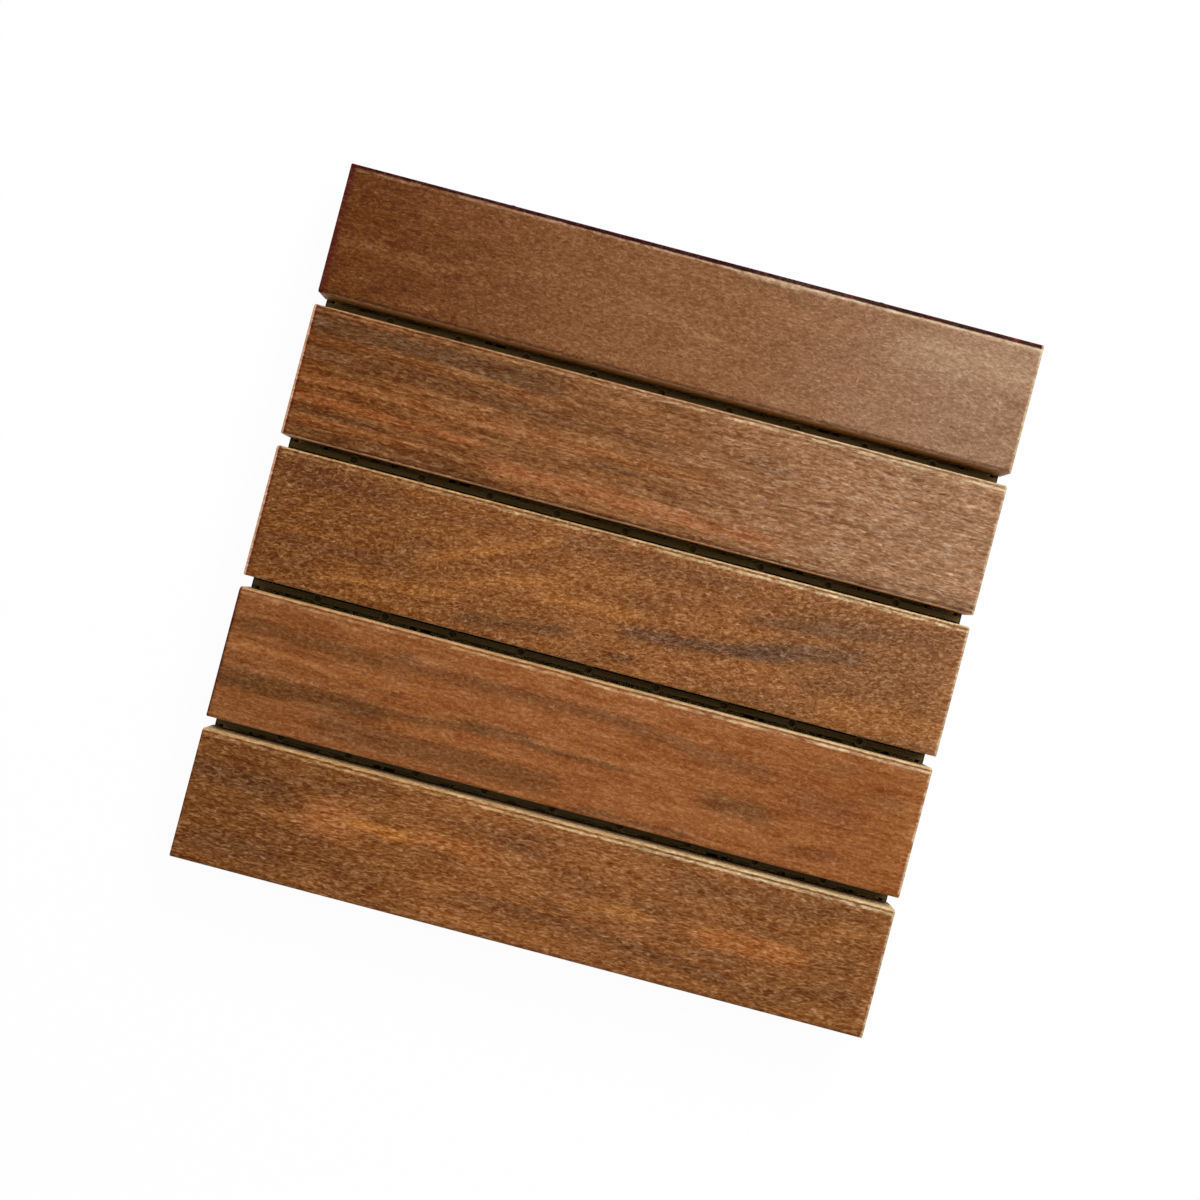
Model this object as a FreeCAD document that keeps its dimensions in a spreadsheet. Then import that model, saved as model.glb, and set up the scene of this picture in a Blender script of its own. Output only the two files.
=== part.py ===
"""Interlocking deck tile: five hardwood slats screwed from below to a moulded grid.

The origin is the tile's centre on the ground. +Z is up, +X runs along the slats,
and slat 1 lies at the +Y edge. Lengths are in millimetres.
Snap rings stand out at foot level on the +X and +Y sides, and reach under the rim
of the next tile, whose pegs drop into them. The pegs are on the other two sides.
"""

import FreeCAD, Part

import os

import Sketcher

# Driving dimensions, each written once. The sheet holds them under the same words.
DRIVING_SIZES = {
    "slat_count": 5,
    "slat_length": 300.0,
    "slat_width": 55.0,
    "slat_thickness": 19.0,
    "slat_gap": 6.25,
    "top_easing": 2.5,
    "end_easing": 1.2,
    "bottom_easing": 0.8,
    "base_inset": 0.8,
    "base_height": 10.0,
    "foot_height": 1.5,
    "foot_width": 9.0,
    "rim_wall": 2.0,
    "rim_corner": 3.0,
    "rib_wall": 1.6,
    "cross_rib_pitch": 30.0,
    "gap_rib_wall": 2.5,
    "gap_rib_rise": 2.5,
    "drain_notch_length": 3.0,
    "screw_strip_width": 14.0,
    "screw_strip_thickness": 2.5,
    "screw_slot_clearance": 0.2,
    "screw_slot_length": 6.6,
    "screw_shank_diameter": 4.0,
    "screw_head_diameter": 8.0,
    "screw_head_height": 2.6,
    "screw_length": 16.0,
    "pilot_clearance": 0.05,
    "pilot_spare_depth": 1.0,
    "connector_offset": 82.5,
    "tile_joint": 0.8,
    "peg_diameter": 4.0,
    "peg_setback": 0.3,
    "peg_top_drop": 1.0,
    "ring_clearance": 0.15,
    "ring_wall": 1.25,
    "ring_thickness": 3.0,
    "notch_clearance": 0.5,
}

# Expressions worked out from the driving dimensions.
SLAT_PITCH = "(sizes.slat_width + sizes.slat_gap)"
OUTER_SLAT = f"((sizes.slat_count - 1) * {SLAT_PITCH} / 2)"
OUTER_GAP = f"({OUTER_SLAT} - {SLAT_PITCH} / 2)"
GAP_COUNT = "(sizes.slat_count - 1)"
HALF_TILE_X = "(sizes.slat_length / 2)"
HALF_TILE_Y = f"({OUTER_SLAT} + sizes.slat_width / 2)"
HALF_BASE_X = f"({HALF_TILE_X} - sizes.base_inset)"
HALF_BASE_Y = f"({HALF_TILE_Y} - sizes.base_inset)"
RIB_LENGTH_X = f"(2 * {HALF_BASE_X} - sizes.rim_wall)"
RIB_LENGTH_Y = f"(2 * {HALF_BASE_Y} - sizes.rim_wall)"
RIB_DEPTH = "(sizes.base_height - sizes.foot_height)"
CROSS_RIB_PAIRS = f"floor(({HALF_BASE_X} - sizes.rim_wall) / sizes.cross_rib_pitch + 0.5)"
OUTER_CROSS_RIB = f"(({CROSS_RIB_PAIRS} - 0.5) * sizes.cross_rib_pitch)"
OUTER_DRAIN = f"({OUTER_CROSS_RIB} - sizes.cross_rib_pitch / 2)"
SCREW_COLUMN = OUTER_DRAIN
SCREW_STAGGER = f"({SLAT_PITCH} / 4)"
SCREW_SEAT = "(sizes.base_height - sizes.screw_strip_thickness)"
SHANK_RADIUS = "(sizes.screw_shank_diameter / 2)"
PEG_RADIUS = "(sizes.peg_diameter / 2)"
RING_BORE_RADIUS = f"({PEG_RADIUS} + sizes.ring_clearance)"
RING_RADIUS = f"({RING_BORE_RADIUS} + sizes.ring_wall)"
NOTCH_HEIGHT = "(sizes.ring_thickness + sizes.notch_clearance)"
NOTCH_TOP = f"(sizes.foot_height + {NOTCH_HEIGHT})"

# Points and edges closer than this lie on the same plane.
NEAR = 1e-4

document = FreeCAD.newDocument("deck_tile")


def fill_sheet():
    """Put the driving dimensions in the sheet, one to a row, each with its alias."""
    sheet = document.addObject("Spreadsheet::Sheet", "sizes")
    for row, (alias, size) in enumerate(DRIVING_SIZES.items(), start=1):
        sheet.set(f"A{row}", alias.replace("_", " "))
        sheet.set(f"B{row}", str(size))
        sheet.setAlias(f"B{row}", alias)
    document.recompute()


def value_of(expression):
    """Work out an expression on the sheet's sizes as a plain number."""
    result = document.getObject("sizes").evalExpression(expression)
    return float(getattr(result, "Value", result))


def new_body(label):
    """Start the body of one sub-part; its label names its file."""
    body = document.addObject("PartDesign::Body", label)
    body.Label = label
    return body


def place_body(body, x="0", y="0", z="0"):
    """Bind a body's place to the sheet."""
    for axis, expression in (("x", x), ("y", y), ("z", z)):
        body.setExpression(f"Placement.Base.{axis}", expression)


def origin_feature(body, role):
    """Find one of a body's own origin planes or axes by its role."""
    return next(f for f in body.Origin.OriginFeatures if f.Role == role)


def new_sketch(body, name, height="0", plane="XY_Plane", turn=0):
    """Attach a sketch to a plane of the body's origin, at a height, turned about its normal."""
    sketch = body.newObject("Sketcher::SketchObject", name)
    sketch.AttachmentSupport = [(origin_feature(body, plane), "")]
    sketch.MapMode = "FlatFace"
    rotation = FreeCAD.Rotation(FreeCAD.Vector(0, 0, 1), turn)
    sketch.AttachmentOffset = FreeCAD.Placement(FreeCAD.Vector(), rotation)
    sketch.setExpression("AttachmentOffset.Base.z", height)
    return sketch


def dimension(sketch, name, kind, where, size):
    """Add a named dimension to a sketch and bind it to the sheet."""
    index = sketch.addConstraint(Sketcher.Constraint(kind, *where, value_of(size)))
    sketch.renameConstraint(index, name)
    sketch.setExpression(f"Constraints.{name}", size)


def place_point(sketch, name, where, x, y):
    """Dimension a point of a sketch from the sketch's origin."""
    origin = (-1, 1)
    dimension(sketch, f"{name}_x", "DistanceX", (*origin, *where), x)
    dimension(sketch, f"{name}_y", "DistanceY", (*origin, *where), y)


def add_outline(sketch, corners):
    """Draw straight lines from corner to corner, joined end to end, and number them."""
    points = [FreeCAD.Vector(value_of(x), value_of(y), 0) for x, y in corners]
    first = sketch.GeometryCount
    for start, end in zip(points, points[1:] + points[:1]):
        sketch.addGeometry(Part.LineSegment(start, end))
    lines = list(range(first, first + len(points)))
    for line, following in zip(lines, lines[1:] + lines[:1]):
        sketch.addConstraint(Sketcher.Constraint("Coincident", line, 2, following, 1))
    return lines


def add_rectangle(sketch, name, middle, length_x, length_y):
    """Draw a rectangle about a middle point, with its place and sides bound to the sheet."""
    middle_x, middle_y = middle
    left = f"({middle_x} - {length_x} / 2)"
    right = f"({middle_x} + {length_x} / 2)"
    low = f"({middle_y} - {length_y} / 2)"
    high = f"({middle_y} + {length_y} / 2)"
    corners = [(left, low), (right, low), (right, high), (left, high)]
    bottom, right_side, top, left_side = add_outline(sketch, corners)
    for line in (bottom, top):
        sketch.addConstraint(Sketcher.Constraint("Horizontal", line))
    for line in (right_side, left_side):
        sketch.addConstraint(Sketcher.Constraint("Vertical", line))
    place_point(sketch, f"{name}_corner", (bottom, 1), left, low)
    dimension(sketch, f"{name}_length_x", "DistanceX", (bottom, 1, bottom, 2), length_x)
    dimension(sketch, f"{name}_length_y", "DistanceY", (right_side, 1, right_side, 2), length_y)


def add_circle(sketch, name, middle, radius):
    """Draw a circle about a middle point, with its place and radius bound to the sheet."""
    centre = FreeCAD.Vector(value_of(middle[0]), value_of(middle[1]), 0)
    normal = FreeCAD.Vector(0, 0, 1)
    circle = sketch.addGeometry(Part.Circle(centre, normal, value_of(radius)))
    dimension(sketch, f"{name}_radius", "Radius", (circle,), radius)
    place_point(sketch, f"{name}_centre", (circle, 3), *middle)


def raise_profile(body, name, sketch, height):
    """Pad a sketch along its normal."""
    feature = body.newObject("PartDesign::Pad", name)
    feature.Profile = sketch
    feature.setExpression("Length", height)
    return feature


def cut_profile(body, name, sketch, depth):
    """Cut a sketch out of the body, upwards along the sketch's normal."""
    feature = body.newObject("PartDesign::Pocket", name)
    feature.Profile = sketch
    feature.Reversed = True
    feature.setExpression("Length", depth)
    return feature


def repeat(body, name, feature, along_x=None, along_y=None):
    """Repeat a feature along X, Y or both; each direction is a step and a count."""
    pattern = body.newObject("PartDesign::LinearPattern", name)
    pattern.Originals = [feature]
    runs = [("X_Axis", along_x), ("Y_Axis", along_y)]
    for suffix, (axis, run) in zip(("", "2"), [run for run in runs if run[1]]):
        step, count = run
        setattr(pattern, f"Direction{suffix}", (origin_feature(body, axis), [""]))
        setattr(pattern, f"Mode{suffix}", "Extent")
        pattern.setExpression(f"Length{suffix}", f"{step} * ({count} - 1)")
        pattern.setExpression(f"Occurrences{suffix}", count)
    body.Tip = pattern
    return pattern


def edges_of(feature, is_wanted):
    """Name the edges of a feature whose middle point and direction are wanted."""
    names = []
    for index, edge in enumerate(feature.Shape.Edges, start=1):
        middle = edge.valueAt((edge.FirstParameter + edge.LastParameter) / 2)
        span = edge.Vertexes[-1].Point - edge.Vertexes[0].Point
        if is_wanted(middle, span):
            names.append(f"Edge{index}")
    return names


def ease_edges(body, name, kind, feature, is_wanted, size):
    """Round or chamfer the wanted edges of a feature."""
    document.recompute()
    easing = body.newObject(f"PartDesign::{kind}", name)
    easing.Base = (feature, edges_of(feature, is_wanted))
    easing.setExpression("Radius" if kind == "Fillet" else "Size", size)
    return easing


def build_slat(number):
    """Make one slat: a board with eased edges and two blind pilot holes beneath."""
    name = f"slat_{number}"
    body = new_body(name)
    place_body(body, y=f"{OUTER_SLAT} - {number - 1} * {SLAT_PITCH}", z="sizes.base_height")
    outline = new_sketch(body, f"{name}_outline")
    add_rectangle(outline, "board", ("0", "0"), "sizes.slat_length", "sizes.slat_width")
    board = raise_profile(body, f"{name}_board", outline, "sizes.slat_thickness")

    thickness = value_of("sizes.slat_thickness")
    half_length = value_of(HALF_TILE_X)

    def is_top_end(middle, span):
        return middle.z > thickness - NEAR and abs(middle.x) > half_length - NEAR

    def is_top_side(middle, span):
        return middle.z > thickness - NEAR and abs(span.x) > half_length

    def is_bottom_side(middle, span):
        return middle.z < NEAR and abs(span.x) > half_length

    ends = ease_edges(body, f"{name}_end_easing", "Chamfer", board, is_top_end, "sizes.end_easing")
    top = ease_edges(body, f"{name}_top_easing", "Fillet", ends, is_top_side, "sizes.top_easing")
    ease_edges(body, f"{name}_bottom_easing", "Chamfer", top, is_bottom_side, "sizes.bottom_easing")

    circles = new_sketch(body, f"{name}_pilot_circles")
    radius = f"({SHANK_RADIUS} + sizes.pilot_clearance)"
    add_circle(circles, "left", (f"-{SCREW_COLUMN}", SCREW_STAGGER), radius)
    add_circle(circles, "right", (SCREW_COLUMN, f"-{SCREW_STAGGER}"), radius)
    depth = "sizes.screw_length - sizes.screw_strip_thickness + sizes.pilot_spare_depth"
    cut_profile(body, f"{name}_pilots", circles, depth)
    return body


def build_rim(body):
    """Make the grid's outer wall, with rounded corners."""
    outline = new_sketch(body, "rim_outline", "sizes.foot_height")
    add_rectangle(outline, "outside", ("0", "0"), f"(2 * {HALF_BASE_X})", f"(2 * {HALF_BASE_Y})")
    inner_x = f"(2 * ({HALF_BASE_X} - sizes.rim_wall))"
    inner_y = f"(2 * ({HALF_BASE_Y} - sizes.rim_wall))"
    add_rectangle(outline, "inside", ("0", "0"), inner_x, inner_y)
    rim = raise_profile(body, "rim", outline, RIB_DEPTH)
    half_base = value_of(HALF_BASE_X)

    def is_outer_corner(middle, span):
        return abs(span.z) > NEAR and abs(middle.x) > half_base - NEAR

    ease_edges(body, "rim_corners", "Fillet", rim, is_outer_corner, "sizes.rim_corner")


def build_rings(body, side, half_tile, turn):
    """Make the two snap rings of one side, each on a short arm from the rim.

    The sketch is drawn for the +X side and turned to its own side.
    """
    peg_line = f"({half_tile} + sizes.tile_joint + sizes.base_inset + sizes.peg_setback)"
    root = f"({half_tile} - sizes.base_inset - sizes.rim_wall / 2)"
    sketch = new_sketch(body, f"{side}_ring_outline", "sizes.foot_height", turn=turn)
    add_ring(sketch, "low", root, (peg_line, "-sizes.connector_offset"))
    add_ring(sketch, "high", root, (peg_line, "sizes.connector_offset"))
    raise_profile(body, f"{side}_rings", sketch, "sizes.ring_thickness")


def add_ring(sketch, name, root, centre):
    """Draw one ring: a round end about the peg's centre, on parallel arms, with its bore."""
    radius = value_of(RING_RADIUS)
    centre_x, centre_y = (value_of(place) for place in centre)
    root_x = value_of(root)
    low_root = FreeCAD.Vector(root_x, centre_y - radius, 0)
    low_end = FreeCAD.Vector(centre_x, centre_y - radius, 0)
    tip = FreeCAD.Vector(centre_x + radius, centre_y, 0)
    high_end = FreeCAD.Vector(centre_x, centre_y + radius, 0)
    high_root = FreeCAD.Vector(root_x, centre_y + radius, 0)
    low_arm = sketch.addGeometry(Part.LineSegment(low_root, low_end))
    round_end = sketch.addGeometry(Part.Arc(low_end, tip, high_end))
    high_arm = sketch.addGeometry(Part.LineSegment(high_end, high_root))
    back = sketch.addGeometry(Part.LineSegment(high_root, low_root))
    joints = [
        ("Tangent", low_arm, 2, round_end, 1),
        ("Tangent", round_end, 2, high_arm, 1),
        ("Coincident", high_arm, 2, back, 1),
        ("Coincident", back, 2, low_arm, 1),
        ("Horizontal", low_arm),
        ("Vertical", back),
    ]
    for joint in joints:
        sketch.addConstraint(Sketcher.Constraint(*joint))
    dimension(sketch, f"{name}_end_radius", "Radius", (round_end,), RING_RADIUS)
    place_point(sketch, f"{name}_end_centre", (round_end, 3), *centre)
    dimension(sketch, f"{name}_root", "DistanceX", (-1, 1, back, 1), root)
    add_circle(sketch, f"{name}_bore", centre, RING_BORE_RADIUS)


def build_gap_ribs(body):
    """Make the ribs that stand up between the slats, and the drain notches across them."""
    outline = new_sketch(body, "gap_rib_outline", "sizes.foot_height")
    add_rectangle(outline, "rib", ("0", f"-{OUTER_GAP}"), RIB_LENGTH_X, "sizes.gap_rib_wall")
    rib = raise_profile(body, "gap_rib", outline, f"{RIB_DEPTH} + sizes.gap_rib_rise")
    repeat(body, "gap_ribs", rib, along_y=(SLAT_PITCH, GAP_COUNT))

    notch = new_sketch(body, "drain_notch_outline", "sizes.base_height")
    first_notch = (f"-{OUTER_DRAIN}", f"-{OUTER_GAP}")
    add_rectangle(notch, "notch", first_notch, "sizes.drain_notch_length", "(2 * sizes.gap_rib_wall)")
    cut = cut_profile(body, "drain_notch", notch, "sizes.gap_rib_rise")
    notches_along = ("sizes.cross_rib_pitch", f"(2 * {CROSS_RIB_PAIRS} - 1)")
    repeat(body, "drain_notches", cut, along_x=notches_along, along_y=(SLAT_PITCH, GAP_COUNT))


def build_screw_strips(body):
    """Make the two thin strips that the screw heads pull against, with a slot for each screw.

    The slots run across the grain, so that the slats can swell.
    """
    strips = new_sketch(body, "screw_strip_outline", SCREW_SEAT)
    slots = new_sketch(body, "screw_slot_outline", SCREW_SEAT)
    slot_width = f"(2 * ({SHANK_RADIUS} + sizes.screw_slot_clearance))"
    for side, column, row in (
        ("left", f"-{SCREW_COLUMN}", f"(-{OUTER_SLAT} + {SCREW_STAGGER})"),
        ("right", SCREW_COLUMN, f"(-{OUTER_SLAT} - {SCREW_STAGGER})"),
    ):
        add_rectangle(strips, side, (column, "0"), "sizes.screw_strip_width", RIB_LENGTH_Y)
        add_rectangle(slots, side, (column, row), slot_width, "sizes.screw_slot_length")
    raise_profile(body, "screw_strips", strips, "sizes.screw_strip_thickness")
    cut = cut_profile(body, "screw_slot", slots, "sizes.screw_strip_thickness")
    repeat(body, "screw_slots", cut, along_y=(SLAT_PITCH, "sizes.slat_count"))


def build_long_ribs(body):
    """Make the rib that runs under the middle of each slat."""
    outline = new_sketch(body, "long_rib_outline", "sizes.foot_height")
    add_rectangle(outline, "rib", ("0", f"-{OUTER_SLAT}"), RIB_LENGTH_X, "sizes.rib_wall")
    rib = raise_profile(body, "long_rib", outline, RIB_DEPTH)
    repeat(body, "long_ribs", rib, along_y=(SLAT_PITCH, "sizes.slat_count"))


def build_feet(body):
    """Make the feet in two staggered sets: under the gap ribs, and under the slats' middle ribs."""
    inner_cross_rib = f"({OUTER_CROSS_RIB} - 2 * sizes.cross_rib_pitch)"
    foot_sets = {
        "gap_foot": (inner_cross_rib, "2", OUTER_GAP, GAP_COUNT),
        "slat_foot": (OUTER_CROSS_RIB, "3", OUTER_SLAT, "sizes.slat_count"),
    }
    for name, (column, columns, row, rows) in foot_sets.items():
        outline = new_sketch(body, f"{name}_outline")
        add_rectangle(outline, "foot", (f"-{column}", f"-{row}"), "sizes.foot_width", "sizes.foot_width")
        foot = raise_profile(body, name, outline, "sizes.foot_height")
        step = f"2 * {column} / ({columns} - 1)"
        repeat(body, f"{name}_set", foot, along_x=(step, columns), along_y=(SLAT_PITCH, rows))


def build_cross_ribs(body):
    """Make the ribs that run across under all the slats."""
    outline = new_sketch(body, "cross_rib_outline", "sizes.foot_height")
    add_rectangle(outline, "rib", (f"-{OUTER_CROSS_RIB}", "0"), "sizes.rib_wall", RIB_LENGTH_Y)
    rib = raise_profile(body, "cross_rib", outline, RIB_DEPTH)
    repeat(body, "cross_ribs", rib, along_x=("sizes.cross_rib_pitch", f"(2 * {CROSS_RIB_PAIRS})"))


def build_pegs(body):
    """Make the pegs of the -X and -Y sides, each hanging in a notch that takes a ring.

    A square boss on the rim's face carries each peg above its notch.
    """
    depth = f"(sizes.peg_setback + {RING_RADIUS} + sizes.notch_clearance)"
    width = f"(2 * ({RING_RADIUS} + sizes.notch_clearance))"
    notches = new_sketch(body, "peg_notch_outline", "sizes.foot_height")
    bosses = new_sketch(body, "peg_boss_outline", NOTCH_TOP)
    circles = new_sketch(body, "peg_circles", "sizes.foot_height")
    for name, along in (("low", "-sizes.connector_offset"), ("high", "sizes.connector_offset")):
        left_notch = (f"({depth} / 2 - {HALF_BASE_X})", along)
        front_notch = (along, f"({depth} / 2 - {HALF_BASE_Y})")
        add_rectangle(notches, f"left_{name}", left_notch, depth, width)
        add_rectangle(notches, f"front_{name}", front_notch, width, depth)
        left_peg = (f"(sizes.peg_setback - {HALF_BASE_X})", along)
        front_peg = (along, f"(sizes.peg_setback - {HALF_BASE_Y})")
        for peg, middle in ((f"left_{name}", left_peg), (f"front_{name}", front_peg)):
            add_rectangle(bosses, peg, middle, "sizes.peg_diameter", "sizes.peg_diameter")
            add_circle(circles, peg, middle, PEG_RADIUS)
    cut_profile(body, "peg_notches", notches, NOTCH_HEIGHT)
    raise_profile(body, "peg_bosses", bosses, f"sizes.base_height - sizes.peg_top_drop - {NOTCH_TOP}")
    raise_profile(body, "pegs", circles, NOTCH_HEIGHT)


def build_base():
    """Make the moulded grid that carries the slats and joins the tiles."""
    body = new_body("base_grid")
    build_rim(body)
    build_rings(body, "right", HALF_TILE_X, 0)
    build_rings(body, "back", HALF_TILE_Y, 90)
    build_gap_ribs(body)
    build_screw_strips(body)
    build_long_ribs(body)
    build_feet(body)
    build_cross_ribs(body)
    build_pegs(body)
    return body


def build_screws():
    """Make the screws as one group: one screw at each end of every slat, heads down."""
    body = new_body("slat_screws")
    head_radius = "(sizes.screw_head_diameter / 2)"
    outline = {
        "face_middle": ("0", "-sizes.screw_head_height"),
        "face_edge": (head_radius, "-sizes.screw_head_height"),
        "seat_edge": (head_radius, "0"),
        "shank_root": (SHANK_RADIUS, "0"),
        "shank_edge": (SHANK_RADIUS, "sizes.screw_length"),
        "shank_end": ("0", "sizes.screw_length"),
    }
    for side, column, row in (
        ("left", f"-{SCREW_COLUMN}", f"({OUTER_SLAT} - {SCREW_STAGGER})"),
        ("right", SCREW_COLUMN, f"({OUTER_SLAT} + {SCREW_STAGGER})"),
    ):
        profile = new_sketch(body, f"{side}_screw_profile", row, "XZ_Plane")
        profile.setExpression("AttachmentOffset.Base.x", column)
        profile.setExpression("AttachmentOffset.Base.y", SCREW_SEAT)
        lines = add_outline(profile, list(outline.values()))
        for line, (name, (across, up)) in zip(lines, outline.items()):
            place_point(profile, name, (line, 1), across, up)
        screw = body.newObject("PartDesign::Revolution", f"{side}_screw")
        screw.Profile = profile
        screw.ReferenceAxis = (profile, ["V_Axis"])
        screw.Angle = 360
        repeat(body, f"{side}_screws", screw, along_y=(SLAT_PITCH, "sizes.slat_count"))
    return body


def check_document(bodies):
    """Stop if any object failed or any sub-part has no sound shape."""
    for item in document.Objects:
        faults = {"Invalid", "Error"} & set(item.State)
        if faults:
            raise RuntimeError(f"{item.Label} is {', '.join(sorted(faults))}")
    for body in bodies:
        if body.Shape.isNull() or not body.Shape.isValid():
            raise RuntimeError(f"{body.Label} has no valid shape")


def main():
    """Build every sub-part and write one file for each."""
    fill_sheet()
    slat_numbers = range(1, int(value_of("sizes.slat_count")) + 1)
    bodies = [build_base(), build_screws()]
    bodies += [build_slat(number) for number in slat_numbers]
    document.recompute()
    check_document(bodies)
    os.makedirs("parts", exist_ok=True)
    for body in bodies:
        body.Shape.exportStep(f"parts/{body.Label}.step")
        box = body.Shape.BoundBox
        print(f"{body.Label}: {len(body.Shape.Solids)} solids, {body.Shape.Volume:.0f} mm3,", box)


main()
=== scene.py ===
"""Looks of the interlocking deck tile: oiled hardwood slats screwed to a moulded grid.

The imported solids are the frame. Every piece lies in their axes, in metres: +Z is up,
+X runs along the slats, and slat 1 lies at the +Y edge. Sizes named *_mm are in
millimetres, and finishes read positions in millimetres from the middle of their piece.
"""

import logging
import math
from dataclasses import dataclass, field
from enum import Enum
from typing import Any, Iterable, Mapping, Optional, Union

import bmesh
import bpy
from mathutils import Matrix, Vector


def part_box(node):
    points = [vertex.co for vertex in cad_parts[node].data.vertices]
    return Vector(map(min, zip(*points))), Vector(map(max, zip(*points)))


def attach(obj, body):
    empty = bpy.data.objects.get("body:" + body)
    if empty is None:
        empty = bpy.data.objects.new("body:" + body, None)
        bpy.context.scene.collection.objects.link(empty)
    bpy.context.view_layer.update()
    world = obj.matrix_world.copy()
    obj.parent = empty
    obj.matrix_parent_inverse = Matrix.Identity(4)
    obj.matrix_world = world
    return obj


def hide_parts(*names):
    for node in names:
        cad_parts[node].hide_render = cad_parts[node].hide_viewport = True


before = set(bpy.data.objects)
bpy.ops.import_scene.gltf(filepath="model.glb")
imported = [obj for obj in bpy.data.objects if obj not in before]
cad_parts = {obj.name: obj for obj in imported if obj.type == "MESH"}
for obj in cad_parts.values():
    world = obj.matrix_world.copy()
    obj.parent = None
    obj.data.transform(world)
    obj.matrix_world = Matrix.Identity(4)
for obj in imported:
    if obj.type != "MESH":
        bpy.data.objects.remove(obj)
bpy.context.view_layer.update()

log = logging.getLogger("deck_tile")
MM = 0.001
# How far soft noise strays from its middle, as a standard deviation.
NOISE_SPREAD = 0.1
SCREEN_GAMMA = 2.2
# Keeps a divisor off 0.
TINY = 1e-6
# From slat to slat, and from drain notch to drain notch along a rib.
SLAT_PITCH_MM = 61.25
DRAIN_PITCH_MM = 30.0
# Where a slat's two screws stand, from its middle.
SCREW_PLACES_MM = ((-120.0, SLAT_PITCH_MM / 4), (120.0, -SLAT_PITCH_MM / 4))

Colour = tuple[float, float, float]
Socket = bpy.types.NodeSocket
Number = Union["Term", Socket, float]

WHITE: Colour = (1.0, 1.0, 1.0)


def shade(red: int, green: int, blue: int) -> Colour:
    """Turn a screen colour, 0 to 255, into the plain light values that a material takes.

    Args:
        red: Red as seen on a screen.
        green: Green as seen on a screen.
        blue: Blue as seen on a screen.

    Returns:
        The same colour in linear light.
    """
    parts = (part / 255 for part in (red, green, blue))
    return tuple(p / 12.92 if p <= 0.04045 else ((p + 0.055) / 1.055) ** 2.4 for p in parts)


# Tones that several slats share.
UMBER = shade(87, 55, 29)
OLIVE = shade(88, 56, 28)
AMBER = shade(143, 86, 42)
GOLD = shade(170, 108, 50)
OILED_SIDE = shade(112, 70, 38)


class Term:
    """A number on its way through a node tree; arithmetic on it adds Math nodes."""

    def __init__(self, bench: "Bench", socket: Socket) -> None:
        """Remember where the number comes from."""
        self.bench = bench
        self.socket = socket

    def __add__(self, other: Number) -> "Term":
        """Add another number."""
        return self.bench.math("ADD", self, other)

    def __radd__(self, other: Number) -> "Term":
        """Add to another number."""
        return self.bench.math("ADD", other, self)

    def __sub__(self, other: Number) -> "Term":
        """Take another number away."""
        return self.bench.math("SUBTRACT", self, other)

    def __rsub__(self, other: Number) -> "Term":
        """Take away from another number."""
        return self.bench.math("SUBTRACT", other, self)

    def __mul__(self, other: Number) -> "Term":
        """Multiply by another number."""
        return self.bench.math("MULTIPLY", self, other)

    def __rmul__(self, other: Number) -> "Term":
        """Multiply another number."""
        return self.bench.math("MULTIPLY", other, self)

    def __truediv__(self, other: Number) -> "Term":
        """Divide by another number."""
        return self.bench.math("DIVIDE", self, other)

    def __rtruediv__(self, other: Number) -> "Term":
        """Divide another number."""
        return self.bench.math("DIVIDE", other, self)

    def __abs__(self) -> "Term":
        """Drop the sign."""
        return self.bench.math("ABSOLUTE", self)

    def sign(self) -> "Term":
        """Give -1, 0 or 1."""
        return self.bench.math("SIGN", self)

    def root(self) -> "Term":
        """Take the square root."""
        return self.bench.math("SQRT", self)

    def least(self, other: Number) -> "Term":
        """Give the smaller of this and another number."""
        return self.bench.math("MINIMUM", self, other)

    def most(self, other: Number) -> "Term":
        """Give the larger of this and another number."""
        return self.bench.math("MAXIMUM", self, other)

    def held(self) -> "Term":
        """Keep the number between 0 and 1."""
        return self.least(1.0).most(0.0)

    def rise(self, low: Number, high: Number) -> "Term":
        """Go smoothly from 0 at low to 1 at high; with low above high it falls instead.

        Args:
            low: Where the result is 0.
            high: Where the result is 1.

        Returns:
            The smooth step.
        """
        step = self.bench.node(
            "ShaderNodeMapRange",
            {"interpolation_type": "SMOOTHSTEP"},
            {"Value": self, "From Min": low, "From Max": high, "To Min": 0.0, "To Max": 1.0},
        )
        return Term(self.bench, step.outputs["Result"])


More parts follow.
